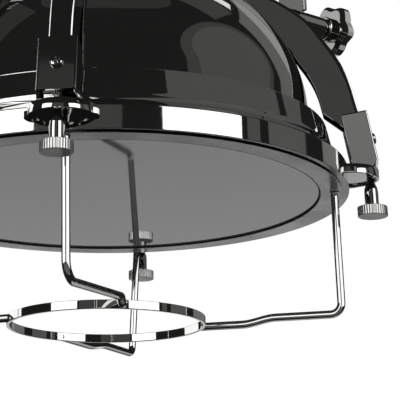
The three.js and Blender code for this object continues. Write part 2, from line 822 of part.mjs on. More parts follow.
// Hand knob: a hub, a star of six lobes with bevelled edges and a small cap, bored for the stud.
function makeKnob(side) {
  const hubStart = sleeveOuterEnd + seatGap + washerThickness + seatGap;
  const starStart = hubStart + knobHubLength;
  const starEnd = starStart + knobThickness;
  const star = new THREE.Shape();
  const points = knobLobes * knobLobeSteps;
  for (let i = 0; i < points; i += 1) {
    const angle = (2 * Math.PI * i) / points;
    const lobe = (1 + Math.cos(knobLobes * angle)) / 2;
    const radius = knobValleyRadius + (knobTipRadius - knobValleyRadius) * lobe - knobChamfer;
    const point = [radius * Math.cos(angle), radius * Math.sin(angle)];
    if (i === 0) star.moveTo(...point);
    else star.lineTo(...point);
  }
  star.closePath();
  const starBody = new THREE.ExtrudeGeometry(star, {
    depth: knobThickness - 2 * knobChamfer,
    bevelEnabled: true,
    bevelThickness: knobChamfer,
    bevelSize: knobChamfer,
    bevelSegments: 1,
    curveSegments: cornerSteps,
  }).translate(0, 0, starStart + knobChamfer);
  const hub = disc(knobHubRadius, hubStart, starStart + knobChamfer, mediumFacets);
  const cap = disc(knobCapRadius, starEnd - knobChamfer, starEnd + knobCapLength, mediumFacets);
  const boreEnd = sleeveOuterEnd + seatGap + washerThickness + studLength + seatGap;
  const bore = disc(studRadius + runningGap, hubStart - overrun, boreEnd, smallFacets);
  return cut(join(starBody, hub, cap), bore).rotateY((side * Math.PI) / 2);
}

// Swivel: a hub welded to the yoke's bar, a socket on the stem and a headed pin through both.
function makeSwivelHub() {
  const top = yokeRise + seatGap + swivelHubHeight;
  return tube(swivelPinRadius + seatGap, swivelRadius, yokeRise + seatGap, top, mediumFacets);
}

function makeSwivelSocket() {
  const bottom = swivelSeam;
  const boreTop = bottom + swivelPinLength;
  const taper = swivelTop - (swivelRadius - stemRadius);
  return turned([
    [swivelPinRadius + runningGap, bottom],
    [swivelRadius, bottom],
    [swivelRadius, taper],
    [stemRadius, swivelTop],
    [0, swivelTop],
    [0, boreTop],
    [swivelPinRadius + runningGap, boreTop],
    [swivelPinRadius + runningGap, bottom],
  ], mediumFacets);
}

function makeSwivelPin() {
  const underside = yokeRise - strapThickness - seatGap;
  const top = yokeRise + seatGap + swivelHubHeight + swivelPinLength;
  return turned([
    [0, underside - swivelPinHeadHeight],
    [swivelPinHead, underside - swivelPinHeadHeight],
    [swivelPinHead, underside],
    [swivelPinRadius, underside],
    [swivelPinRadius, top],
    [0, top],
  ], smallFacets);
}

function makeStem() {
  const bottom = swivelTop + seatGap;
  return tube(stemRadius - stemWall, stemRadius, bottom, stemTop, mediumFacets);
}

// Canopy: a turned cup against the ceiling with a collar round the stem.
function makeCanopy() {
  const inner = stemRadius + seatGap;
  const bowl = canopyBowlShares.map(([out, down]) => [canopyRadius * out, -canopyDepth * down]);
  const inside = bowl.map(([radius, height]) => [radius - canopyWall, height + canopyWall]).reverse();
  const outline = [
    [canopyRadius - canopyWall, 0],
    [canopyRadius, 0],
    ...bowl,
    [canopyCollarRadius, -canopyDepth],
    [canopyCollarRadius, -canopyDepth - canopyCollarHeight],
    [inner, -canopyDepth - canopyCollarHeight],
    [inner, canopyWall - canopyDepth],
    ...inside,
  ];
  return turned(closedOutline(outline), mediumFacets);
}

function makeCeilingPlate() {
  const plate = disc(plateRadius, -plateThickness, 0, mediumFacets);
  const holes = [1, -1].map((side) => {
    const hole = disc(plateHoleRadius, -plateThickness - overrun, overrun, smallFacets);
    return hole.translate(side * plateHolePlace, 0, 0);
  });
  const cable = disc(cableHoleRadius, -plateThickness - overrun, overrun, smallFacets);
  return cut(plate, ...holes, cable.translate(0, cableHolePlace, 0));
}

// Lampholder on its plate under the dome's mouth, with the bulb hanging in the reflector.
const holderTop = domeHeightAt(holderPlateRadius, -domeWall) - seatGap - holderPlateThickness;

function makeHolder() {
  const plateTop = holderTop + holderPlateThickness;
  return turned([
    [0, plateTop],
    [holderPlateRadius, plateTop],
    [holderPlateRadius, holderTop],
    [holderRadius, holderTop],
    [holderRadius, holderTop - holderLength],
    [bulbNeckRadius + runningGap, holderTop - holderLength],
    [bulbNeckRadius + runningGap, holderTop - holderLength + bulbCapDepth + seatGap],
    [0, holderTop - holderLength + bulbCapDepth + seatGap],
  ], mediumFacets);
}

function makeBulb() {
  const top = holderTop - holderLength + bulbCapDepth;
  const bottom = top - bulbLength;
  const centre = bottom + bulbRadius;
  const outline = [[0, top], [bulbNeckRadius, top], [bulbNeckRadius, top - bulbCapDepth - seatGap]];
  for (let i = 0; i <= bulbSteps; i += 1) {
    const angle = bulbShoulder + (Math.PI - bulbShoulder) * (i / bulbSteps);
    outline.push([bulbRadius * Math.sin(angle), centre + bulbRadius * Math.cos(angle)]);
  }
  outline[outline.length - 1][0] = 0;
  return turned(outline, smallFacets);
}

// Reflector: a spun bowl under the lampholder's plate, with a flat rim that stands on the bell's shelf.
function makeReflector() {
  const top = holderTop - seatGap;
  const rimBottom = bellShoulderHeight + seatGap;
  const rimTop = rimBottom + reflectorWall;
  const rimOuter = domeRadius - domeFootWidth - reflectorRimGap;
  const outer = [];
  for (let i = 0; i <= reflectorSteps; i += 1) {
    const share = i / reflectorSteps;
    const radius = reflectorTopRadius + (reflectorMouthRadius - reflectorTopRadius) * share;
    outer.push([radius, top - (top - rimTop) * share ** reflectorCurve]);
  }
  const inner = outer.map(([radius, height]) => [radius, height - reflectorWall]).reverse();
  return turned(closedOutline([...outer, [rimOuter, rimTop], [rimOuter, rimBottom], ...inner]), mediumFacets);
}

function forEachArm(visit) {
  for (let i = 0; i < armCount; i += 1) visit(firstArmAngle + (2 * Math.PI * i) / armCount, i + 1);
}

// The head is stored with its pivot on the group's origin.
function makeHead() {
  const head = new THREE.Group();
  head.add(
    piece('dome', makeDome(), 'nickel'),
    piece('bell', makeBell(), 'nickel'),
    piece('bezel', makeBezel(), 'nickel'),
    piece('retaining_ring', makeRetainer(), 'nickel'),
    piece('glass_seal', makeSeal(), 'seal'),
    piece('front_glass', makeGlass(), 'glass'),
    piece('neck_housing', makeNeck(), 'nickel'),
    piece('neck_lid', makeLid(), 'nickel'),
    piece('arm_collar', makeCollar(), 'nickel'),
    piece('reflector', makeReflector(), 'spunAluminium'),
    piece('lampholder', makeHolder(), 'porcelain'),
    piece('bulb', makeBulb(), 'bulb'),
    piece('cage_ring', makeCageRing(), 'nickel'),
  );
  forEachArm((angle, number) => {
    head.add(
      piece(`arm_${number}`, makeArm().rotateZ(angle), 'nickel'),
      piece(`clamp_bracket_${number}`, makeBracket().rotateZ(angle), 'nickel'),
      piece(`bracket_screw_${number}`, makeBracketScrew().rotateZ(angle), 'nickel'),
      piece(`clamp_block_${number}`, makeBlock().rotateZ(angle), 'nickel'),
      piece(`thumb_screw_${number}`, makeThumbScrew().rotateZ(angle), 'satinNickel'),
      piece(`cage_rod_${number}`, makeRod().rotateZ(angle), 'nickel'),
    );
  });
  const shafts = new THREE.Group();
  shafts.add(
    piece('pivot_shaft_right', makeShaft(1), 'nickel'),
    piece('pivot_shaft_left', makeShaft(-1), 'nickel'),
  );
  shafts.position.z = pivotHeight;
  head.add(shafts);
  head.position.z = -pivotHeight;
  return head;
}

function makeYoke() {
  const yoke = new THREE.Group();
  yoke.add(
    piece('yoke_bar', makeYokeBar(), 'nickel'),
    piece('swivel_hub', makeSwivelHub(), 'nickel'),
    piece('swivel_pin', makeSwivelPin(), 'nickel'),
  );
  for (const [name, side] of [['right', 1], ['left', -1]]) {
    yoke.add(
      piece(`yoke_sleeve_${name}`, makeSleeve(side), 'nickel'),
      piece(`knob_washer_${name}`, makeWasher(side), 'nickel'),
      piece(`tilt_knob_${name}`, makeKnob(side), 'nickel'),
    );
  }
  yoke.add(makeHead());
  yoke.position.z = pivotDrop;
  return yoke;
}

const lamp = new THREE.Group();
lamp.add(
  piece('ceiling_plate', makeCeilingPlate(), 'satinNickel'),
  piece('canopy', makeCanopy(), 'nickel'),
  piece('stem', makeStem(), 'nickel'),
  piece('swivel_socket', makeSwivelSocket(), 'nickel'),
  makeYoke(),
);

export default lamp;
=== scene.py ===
# Dome pendant lamp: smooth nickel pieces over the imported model, its studio and the camera.
# Pieces are drawn in millimetres from the lamp's axis and the rim's lower edge. piece() makes them metres in place.
import math

import bmesh
import bpy
from mathutils import Matrix, Vector


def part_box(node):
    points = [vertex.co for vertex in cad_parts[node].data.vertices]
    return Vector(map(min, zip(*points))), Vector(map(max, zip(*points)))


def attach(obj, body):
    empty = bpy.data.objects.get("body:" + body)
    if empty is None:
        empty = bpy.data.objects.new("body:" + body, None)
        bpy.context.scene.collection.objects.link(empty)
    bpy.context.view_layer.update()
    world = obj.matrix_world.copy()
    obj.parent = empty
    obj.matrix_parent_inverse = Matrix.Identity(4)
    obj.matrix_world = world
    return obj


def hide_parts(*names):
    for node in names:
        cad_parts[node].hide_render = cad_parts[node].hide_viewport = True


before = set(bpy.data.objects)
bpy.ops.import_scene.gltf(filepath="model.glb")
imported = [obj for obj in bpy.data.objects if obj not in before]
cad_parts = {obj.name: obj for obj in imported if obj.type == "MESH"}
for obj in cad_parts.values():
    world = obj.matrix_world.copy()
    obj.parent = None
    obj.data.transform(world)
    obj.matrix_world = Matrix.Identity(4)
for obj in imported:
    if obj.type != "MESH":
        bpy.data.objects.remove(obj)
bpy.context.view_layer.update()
scene = bpy.context.scene
MM = 0.001
TAU = 2 * math.pi
RIM_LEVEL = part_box("bezel")[0][2]
# Left between pieces that bear on each other, and at a shaft in its bore
GAP = 0.3

# Rim, bell and dome
RIM_RADIUS = 250
BAND_HEIGHT = 22
BAND_INSIDE = 247
LIP_RADIUS = 226
SHOULDER_RADIUS = 231
SHOULDER_HEIGHT = 63.5
DOME_RADIUS = 213
DOME_CENTRE = 85
DOME_RISE = 172
DOME_WALL = 2.5
DOME_MOUTH = 46
DOME_TOP = DOME_CENTRE + DOME_RISE
# Neck, pivots and yoke
NECK_RADIUS = 58
NECK_INSIDE = 54
NECK_TOP = DOME_TOP + 43
PIVOT = DOME_TOP + 11
BOSS_END = 63
FLANGE_RADIUS = 12.5
FLANGE_END = BOSS_END + GAP + 5
SHAFT_RADIUS = 9
STUD_RADIUS = 5
SLEEVE_RADIUS = 13
PIN_RADIUS = 7
HUB_RADIUS = 19
STRAP_PLANE = 283
YOKE_TOP = PIVOT + 142
# Arms and clamps
ARM_COUNT = 4
FIRST_ARM = math.radians(45)
ARM_TILT = math.radians(8.8)
ARM_WIDTH = 22
ARM_DEPTH = 36
ARM_CENTRE = 75
ARM_RISE = 187
FOOT_RADIUS = 280.8
FOOT_HEIGHT = 27
CLAMP_WIDTH = 36
CLAMP_DEPTH = 27
CLAMP_LENGTH = 53
CLAMP_WALL = 2.5
BLOCK_LEVEL = FOOT_HEIGHT + 6
SCREW_RADIUS = 271.6
THREAD_RADIUS = 2.8
LUG_RADIUS = 30.75
LUG_TOP = 20
LUG_BOTTOM = 10.7
CUP_TOP = 12.8
HEAD_TOP = -18
HEAD_THICKNESS = 9.8
# Cage
CAGE_INSIDE = 97
CAGE_RADIUS = 100
ROD_CIRCLE = 235
ROD_RADIUS = 4.0
ROD_TOP = -1.8
RING_HEIGHT = -125.5
# Each rod is bent a little differently: degrees it's turned round the lamp, sideways lean and radius at its bend,
# height of its run at the leg and before the dip, bend radius, degrees the run is turned, length of the dip and
# of what follows
ROD_BENDS = ((0, 7.1, 241, -120.2, -120.2, 9, 18.4, 45, 61.7),
             (0, 3, 237, -122, -122, 12, 14, 30, 35),
             (0.26, -1, 222, -125.7, -119.2, 17.6, 14.2, 6, 1.7),
             (2.68, 7.1, 235.5, -120.3, -120.3, 11.2, 11.7, 36, 44.5))


def placed(name, data):
    """A new object in the scene."""
    thing = bpy.data.objects.new(name, data)
    scene.collection.objects.link(thing)
    return thing


class Nodes:
    """A node tree whose nodes get their inputs by name."""

    def __init__(self, tree):
        self.tree = tree

    def feed(self, socket, value):
        """Links the socket to another one, or gives it a value of its own."""
        if isinstance(value, bpy.types.NodeSocket):
            self.tree.links.new(value, socket)
        else:
            socket.default_value = value

    def node(self, kind, **sockets):
        node = self.tree.nodes.new(kind)
        for name, value in sockets.items():
            self.feed(node.inputs[name.replace("_", " ")], value)
        return node

    def calc(self, operation, *values):
        node = self.node("ShaderNodeMath")
        node.operation = operation
        for socket, value in zip(node.inputs, values):
            self.feed(socket, value)
        return node.outputs[0]


# Finishes -----------------------------------------------------------------------------------------
def new_material(name):
    material = bpy.data.materials.new(name)
    material.use_nodes = True
    return material


class Finish(Nodes):
    """A material whose tone, gloss and bumps follow the piece's own coordinates."""

    def __init__(self, name):
        self.material = new_material(name)
        super().__init__(self.material.node_tree)
        self.surface = self.tree.nodes["Principled BSDF"].inputs
        self.coordinates = self.node("ShaderNodeTexCoord").outputs["Object"]

    def grain(self, scale, stretch=(1, 1, 1), detail=3.0):
        """Noise over the piece, drawn out along an axis where stretch is small."""
        mapping = self.node("ShaderNodeMapping", Vector=self.coordinates, Scale=stretch)
        noise = self.node("ShaderNodeTexNoise", Vector=mapping.outputs["Vector"], Scale=scale, Detail=detail)
        return noise.outputs["Fac"]

    def tint(self, value, dark, light):
        """Colours a 0 to 1 value between two tones."""
        ramp = self.node("ShaderNodeValToRGB", Fac=value)
        for stop, position, tone in zip(ramp.color_ramp.elements, (0.3, 0.7), (dark, light)):
            stop.position, stop.color = position, (*tone, 1)
        self.feed(self.surface["Base Color"], ramp.outputs["Color"])

    def roughen(self, value, low, high):
        """Spreads a 0 to 1 value between two roughnesses."""
        ramp = self.node("ShaderNodeMapRange", Value=value, From_Min=0.3, From_Max=0.7, To_Min=low, To_Max=high)
        self.feed(self.surface["Roughness"], ramp.outputs["Result"])

    def relief(self, value, strength, depth):
        """Very fine bumps in the surface."""
        bump = self.node("ShaderNodeBump", Height=value, Strength=strength, Distance=depth)
        self.feed(self.surface["Normal"], bump.outputs["Normal"])


def metal(name, dark, light, rough_low, rough_high, streak=(1, 1, 1), strength=0.03, scale=60.0):
    """Plated metal: cloudy tone, hazy smears in the roughness and a faint polishing grain."""
    finish = Finish(name)
    finish.surface["Metallic"].default_value = 1.0
    finish.tint(finish.grain(7.0), dark, light)
    finish.roughen(finish.grain(18.0, detail=6.0), rough_low, rough_high)
    finish.relief(finish.grain(scale, streak), strength, 0.0004)
    return finish.material


def matt(name, dark, light, clouds, roughness, bumps, strength, depth):
    """Rubber, porcelain or frosted glass: a clouded tone and fine bumps."""
    finish = Finish(name)
    finish.tint(finish.grain(clouds), dark, light)
    finish.surface["Roughness"].default_value = roughness
    finish.relief(finish.grain(bumps), strength, depth)
    return finish.material


def smoked_glass():
    """Dark glass that nothing shows through."""
    finish = Finish("smoked_glass")
    finish.tint(finish.grain(5.0), (0.045, 0.045, 0.046), (0.055, 0.055, 0.056))
    finish.roughen(finish.grain(30.0, detail=5.0), 0.03, 0.06)
    finish.surface["IOR"].default_value = 1.62
    return finish.material


FINISHES = {
    "nickel": metal("polished_nickel", (0.63, 0.625, 0.61), (0.68, 0.675, 0.66), 0.02, 0.06, strength=0.02),
    "satin": metal("satin_nickel", (0.66, 0.655, 0.64), (0.74, 0.735, 0.72), 0.28, 0.4, (1, 1, 8), 0.12, 160.0),
    "ring": metal("satin_ring", (0.36, 0.355, 0.35), (0.41, 0.405, 0.4), 0.22, 0.32, strength=0.05),
    # Darker satin nickel for the knurled heads' downward faces: painted shade
    "turned_face": metal("turned_face", (0.37, 0.365, 0.36), (0.44, 0.435, 0.43), 0.25, 0.36, strength=0.05),
    # Near-black for the threaded blocks: painted shade for the dark gap inside the clamps
    "painted_shade_black": metal("blackened_steel", (0.03, 0.03, 0.03), (0.05, 0.05, 0.05), 0.25, 0.38, strength=0.08),
    # Darker nickel for the lugs' downward faces: painted shade
    "lug_underside": metal("lug_underside", (0.36, 0.355, 0.35), (0.41, 0.405, 0.4), 0.1, 0.16, strength=0.05),
    "spun": metal("spun_aluminium", (0.72, 0.72, 0.72), (0.8, 0.8, 0.8), 0.2, 0.3, (1, 1, 30), 0.1, 40.0),
    "glass": smoked_glass(),
    "seal": matt("black_seal", (0.008, 0.008, 0.008), (0.016, 0.016, 0.016), 90.0, 0.7, 700.0, 0.3, 0.0003),
    "porcelain": matt("white_porcelain", (0.8, 0.78, 0.72), (0.86, 0.84, 0.79), 25.0, 0.25, 80.0, 0.05, 0.0003),
    "bulb": matt("frosted_bulb", (0.8, 0.79, 0.76), (0.88, 0.87, 0.84), 40.0, 0.4, 900.0, 0.1, 0.0002),
}


# Mesh helpers -------------------------------------------------------------------------------------
def on_axis(outline):
    """An outline that starts on the axis ends there and stays open. Every other one is closed."""
    return outline[0][0] == 0


def softened(outline, radius, steps=4):
    """The outline with its sharp corners rounded, as polished edges are."""
    points = [Vector(point) for point in outline]
    count = len(points)
    result = []
    for i, here in enumerate(points):
        back, ahead = points[i - 1] - here, points[(i + 1) % count] - here
        at_end = on_axis(outline) and i in (0, count - 1)
        if at_end or min(back.length, ahead.length) < 1e-6 or back.angle(ahead) > math.radians(155):
            result.append(tuple(here))
            continue
        reach = min(radius / math.tan(back.angle(ahead) / 2), 0.4 * back.length, 0.4 * ahead.length)
        start, end = here + back.normalized() * reach, here + ahead.normalized() * reach
        # A point beside each end of the rounding keeps the flats flat in smooth shading
        result.append(tuple(here + back.normalized() * min(reach + 0.4, 0.46 * back.length)))
        for k in range(steps + 1):
            share = k / steps
            result.append(tuple(start * (1 - share) ** 2 + here * (2 * share * (1 - share)) + end * share ** 2))
        result.append(tuple(here + ahead.normalized() * min(reach + 0.4, 0.46 * ahead.length)))
    return result


def tube(inside, outside, low, high):
    """Outline of a tube, or of a rod where inside is 0."""
    return [(inside, low), (outside, low), (outside, high), (inside, high)]


def spun(outline, facets=128):
    """The shape that (radius, height) pairs make when turned round the Z axis."""
    shape = bmesh.new()
    turns = [TAU * k / facets for k in range(facets)]
    rows = []
    for radius, height in outline:
        if radius < 1e-5:
            rows.append([shape.verts.new((0, 0, height))])
        else:
            rows.append([shape.verts.new((radius * math.cos(a), radius * math.sin(a), height)) for a in turns])
    pairs = list(zip(rows, rows[1:])) + ([] if on_axis(outline) else [(rows[-1], rows[0])])
    for low, high in pairs:
        for k in range(facets):
            n = (k + 1) % facets
            if len(low) == 1 and len(high) == 1:
                continue
            if len(low) == 1:
                shape.faces.new((low[0], high[n], high[k]))
            elif len(high) == 1:
                shape.faces.new((low[k], low[n], high[0]))
            else:
                shape.faces.new((low[k], low[n], high[n], high[k]))
    return shape


def lofted(rows):
    """The shape between closed rows of corners, each as long as the next, closed at both ends."""
    shape = bmesh.new()
    rings = [[shape.verts.new(corner) for corner in row] for row in rows]
    count = len(rings[0])
    for low, high in zip(rings, rings[1:]):
        for k in range(count):
            n = (k + 1) % count
            shape.faces.new((low[k], low[n], high[n], high[k]))
    shape.faces.new(rings[0][::-1])
    shape.faces.new(rings[-1])
    return shape


def as_mesh(name, shape, turn=None):
    """The shape as a mesh, turned or moved first, merged and facing outwards."""
    if turn is not None:
        shape.transform(turn)
    bmesh.ops.remove_doubles(shape, verts=shape.verts, dist=0.001)
    bmesh.ops.recalc_face_normals(shape, faces=shape.faces)
    mesh = bpy.data.meshes.new(name)
    shape.to_mesh(mesh)
    shape.free()
    return mesh


def joined(*meshes):
    """One shape that holds several meshes."""
    shape = bmesh.new()
    for mesh in meshes:
        shape.from_mesh(mesh)
    return shape


def sideways(side, height=PIVOT):
    """Lays what stands on the Z axis along the X axis, at this height."""
    return Matrix.Translation((0, 0, height)) @ Matrix.Rotation(side * math.pi / 2, 4, "Y")


def cut_with(mesh, tool, operation="DIFFERENCE", itself=False):
    """The mesh less the tool, or their common part, as a plain mesh."""
    body, cutter = placed("blank", mesh), placed("cutter", tool)
    modifier = body.modifiers.new("cut", "BOOLEAN")
    modifier.operation = operation
    modifier.object = cutter
    modifier.solver = "EXACT"
    modifier.use_self = itself
    bpy.context.view_layer.update()
    result = bpy.data.meshes.new_from_object(body.evaluated_get(bpy.context.evaluated_depsgraph_get()))
    for thing in (body, cutter):
        bpy.data.objects.remove(thing)
    return result


def piece(name, mesh, finish, body, nodes, bevel=0.0, sharp=38):
    """Makes the mesh metres at the lamp's height and puts it on its body, in place of its CAD nodes."""
    mesh.transform(Matrix.Translation((0, 0, RIM_LEVEL)) @ Matrix.Scale(MM, 4))
    mesh.name = name
    mesh.materials.clear()
    mesh.materials.append(FINISHES[finish])
    for face in mesh.polygons:
        face.use_smooth = True
        face.material_index = 0
    mesh.set_sharp_from_angle(angle=math.radians(sharp))
    thing = placed(name, mesh)
    if bevel:
        edge = thing.modifiers.new("edges", "BEVEL")
        edge.width = bevel * MM
        edge.segments = 2
        edge.limit_method = "ANGLE"
        edge.angle_limit = math.radians(35)
        edge.harden_normals = False
    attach(thing, body)
    if nodes:
        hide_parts(*nodes)
    return thing


def turned_piece(name, outline, body, node, finish="nickel", soften=0.5, facets=160, turn=None):
    """A piece turned from (radius, height) pairs, with its corners rounded."""
    return piece(name, as_mesh(name, spun(softened(outline, soften), facets), turn), finish, body, [node])


# Geometry trees -----------------------------------------------------------------------------------
class ShapeTree(Nodes):
    """A geometry node tree with named inputs that ends in Realize Instances and Set Material."""

    kinds = {"Ribs": "NodeSocketInt", "Count": "NodeSocketInt", "Material": "NodeSocketMaterial"}

    def __init__(self, name, sizes):
        super().__init__(bpy.data.node_groups.new(name, "GeometryNodeTree"))
        face = self.tree.interface
        face.new_socket(name="Geometry", in_out="INPUT", socket_type="NodeSocketGeometry")
        for size in (*sizes, "Material"):
            face.new_socket(name=size, in_out="INPUT", socket_type=self.kinds.get(size, "NodeSocketFloat"))
        face.new_socket(name="Geometry", in_out="OUTPUT", socket_type="NodeSocketGeometry")
        self.entry = self.node("NodeGroupInput").outputs

    def close(self, geometry):
        real = self.node("GeometryNodeRealizeInstances", Geometry=geometry)
        painted = self.node("GeometryNodeSetMaterial", Geometry=real.outputs[0], Material=self.entry["Material"])
        self.node("NodeGroupOutput", Geometry=painted.outputs[0])
        return self

    def grow(self, name, base, **sizes):
        """Runs the tree on a base mesh with these sizes and returns the plain mesh it makes."""
        holder = placed(name, base)
        modifier = holder.modifiers.new("shape", "NODES")
        modifier.node_group = self.tree
        for item in self.tree.interface.items_tree:
            key = item.name.replace(" ", "_")
            if item.in_out == "INPUT" and key in sizes:
                modifier[item.identifier] = sizes[key]
        bpy.context.view_layer.update()
        mesh = bpy.data.meshes.new_from_object(holder.evaluated_get(bpy.context.evaluated_depsgraph_get()))
        bpy.data.objects.remove(holder)
        return mesh


def make_station_tree():
    """Copies of the base mesh round the lamp's axis, one for each arm."""
    tree = ShapeTree("four_round_the_lamp", ["Count", "First Angle"])
    points = tree.node("GeometryNodePoints", Count=tree.entry["Count"])
    index = tree.node("GeometryNodeInputIndex").outputs[0]
    step = tree.calc("DIVIDE", TAU, tree.entry["Count"])
    turn = tree.calc("ADD", tree.calc("MULTIPLY", index, step), tree.entry["First Angle"])
    axis = tree.node("ShaderNodeCombineXYZ", Z=turn)
    copies = tree.node("GeometryNodeInstanceOnPoints", Points=points.outputs[0], Instance=tree.entry["Geometry"],
                       Rotation=axis.outputs[0])
    return tree.close(copies.outputs[0])


def make_rod_tree():
    """Round rod along each line of the base mesh."""
    tree = ShapeTree("bent_cage_rods", ["Radius"])
    line = tree.node("GeometryNodeMeshToCurve", Mesh=tree.entry["Geometry"])
    ring = tree.node("GeometryNodeCurvePrimitiveCircle", Resolution=24, Radius=tree.entry["Radius"])
    rod = tree.node("GeometryNodeCurveToMesh", Curve=line.outputs[0], Profile_Curve=ring.outputs[0],
                    Fill_Caps=True)
    return tree.close(rod.outputs[0])


def make_grip_tree():
    """A disc with ribs or lobes round its edge and a chamfer at both ends, joined to the base mesh."""
    tree = ShapeTree("ribbed_grip", ["Radius", "Thickness", "Ribs", "Rib Depth", "Chamfer", "Height"])
    size = tree.entry
    blank = tree.node("GeometryNodeMeshCylinder", Vertices=tree.calc("MULTIPLY", size["Ribs"], 12.0),
                      Side_Segments=3, Radius=size["Radius"], Depth=size["Thickness"])
    place = tree.node("ShaderNodeSeparateXYZ", Vector=tree.node("GeometryNodeInputPosition").outputs[0])
    x, y, z = place.outputs
    angle = tree.calc("ARCTAN2", y, x)
    wave = tree.calc("COSINE", tree.calc("MULTIPLY", angle, size["Ribs"]))
    lobe = tree.calc("MULTIPLY_ADD", wave, 0.5, 0.5)
    dip = tree.calc("MULTIPLY", tree.calc("SUBTRACT", 1.0, lobe), size["Rib Depth"])
    half = tree.calc("MULTIPLY", size["Thickness"], 0.5)
    at_end = tree.calc("GREATER_THAN", tree.calc("ABSOLUTE", z), tree.calc("MULTIPLY", half, 0.9))
    inset = tree.calc("MULTIPLY", at_end, size["Chamfer"])
    radius = tree.calc("SUBTRACT", tree.calc("SUBTRACT", size["Radius"], dip), inset)
    share = tree.calc("DIVIDE", radius, size["Radius"])
    level = tree.calc("SUBTRACT", half, tree.calc("MULTIPLY", tree.calc("SUBTRACT", 1.0, at_end), size["Chamfer"]))
    height = tree.calc("ADD", tree.calc("MULTIPLY", tree.calc("SIGN", z), level), size["Height"])
    moved = tree.node("ShaderNodeCombineXYZ", X=tree.calc("MULTIPLY", x, share),
                      Y=tree.calc("MULTIPLY", y, share), Z=height)
    grip = tree.node("GeometryNodeSetPosition", Geometry=blank.outputs[0], Position=moved.outputs[0])
    both = tree.node("GeometryNodeJoinGeometry", Geometry=grip.outputs[0])
    tree.feed(both.inputs[0], size["Geometry"])
    return tree.close(both.outputs[0])


STATIONS = make_station_tree()
RODS = make_rod_tree()
GRIP = make_grip_tree()


def at_each_arm(name, mesh, finish="nickel"):
    """The mesh four times round the lamp."""
    return STATIONS.grow(name, mesh, Count=ARM_COUNT, First_Angle=FIRST_ARM, Material=FINISHES[finish])


def four_nodes(node):
    return [f"{node}_{k}" for k in range(1, ARM_COUNT + 1)]


def four_pieces(name, mesh, finish, node, **look):
    """One mesh with a copy at each arm, in place of the four numbered nodes."""
    return piece(name, at_each_arm(name, mesh, finish), finish, "head", four_nodes(node), **look)


# Shade --------------------------------------------------------------------------------------------
def dome_outline(offset, steps=40):
    """The dome's curve from its mouth to its foot, offset outwards."""
    reach, rise = DOME_RADIUS + offset, DOME_RISE + offset
    start = math.asin(DOME_MOUTH / reach)
    angles = [start + (math.pi / 2 - start) * i / steps for i in range(steps + 1)]
    return [(reach * math.sin(a), DOME_CENTRE + rise * math.cos(a)) for a in angles]


def make_dome():
    foot, foot_inside = SHOULDER_HEIGHT + GAP, DOME_RADIUS - 7
    outside = [*dome_outline(0), (DOME_RADIUS, foot)]
    inside = [(foot_inside, foot), (foot_inside, foot + DOME_WALL), (DOME_RADIUS - DOME_WALL, foot + DOME_WALL),
              *reversed(dome_outline(-DOME_WALL))]
    turned_piece("spun_dome", outside + inside, "head", "dome", facets=192)


def make_bell():
    """Shoulder, slanted wall and a flare that turns out over the band."""
    wall_foot, wall_level, sheet, shelf_inside, flare_steps = 236, 39, 2, 196, 18
    bottom = BAND_HEIGHT + GAP
    low = bottom + 0.5
    flare = []
    for i in range(flare_steps + 1):
        down = i / flare_steps
        flare.append((wall_foot + 2.6 * down + 10.9 * (1 - math.cos(math.pi / 2 * down)),
                      wall_level + (low - wall_level) * down))
    inner = [(radius - sheet, height) for radius, height in reversed(flare)]
    foot = flare[-1][0]
    outline = [(shelf_inside, SHOULDER_HEIGHT), (SHOULDER_RADIUS, SHOULDER_HEIGHT), *flare, (foot, bottom),
               (foot - 6, bottom), (foot - 6, low), *inner,
               (SHOULDER_RADIUS - sheet, SHOULDER_HEIGHT - sheet), (shelf_inside, SHOULDER_HEIGHT - sheet)]
    turned_piece("flared_bell", outline, "head", "bell", soften=0.6, facets=192)


def make_lug():
    """The first lug: a disc on the band with a shallow cup below and an ear on each side."""
    edge, inside = LUG_RADIUS, RIM_RADIUS - 1.5
    disc = spun([(0, LUG_TOP), (edge - 0.3, LUG_TOP), (edge, LUG_TOP - 0.4), (edge, LUG_BOTTOM + 0.2),
                 (edge - 0.4, LUG_BOTTOM), (edge - 2.2, LUG_BOTTOM), (edge - 2.6, CUP_TOP), (0, CUP_TOP)], 72)
    for side in (1, -1):
        rows = []
        for turn, out in ((-14, 31), (-10, 33.4), (-4, 34), (4, 34), (11, 33.4), (16, 31)):
            angle = side * math.radians(90 - turn)
            rows.append([(radius * math.cos(angle), radius * math.sin(angle), height)
                         for radius, height in ((29, 11), (out, 11), (out, 16), (29, 16))])
        disc.from_mesh(as_mesh("lug_ear", lofted(rows)))
    disc.transform(Matrix.Translation((RIM_RADIUS, 0, 0)))
    for corner in disc.verts:
        # What would reach into the band ends inside its wall
        share = inside / math.hypot(corner.co.x, corner.co.y)
        if share > 1:
            corner.co.x, corner.co.y = corner.co.x * share, corner.co.y * share
    return as_mesh("rim_lug", disc)


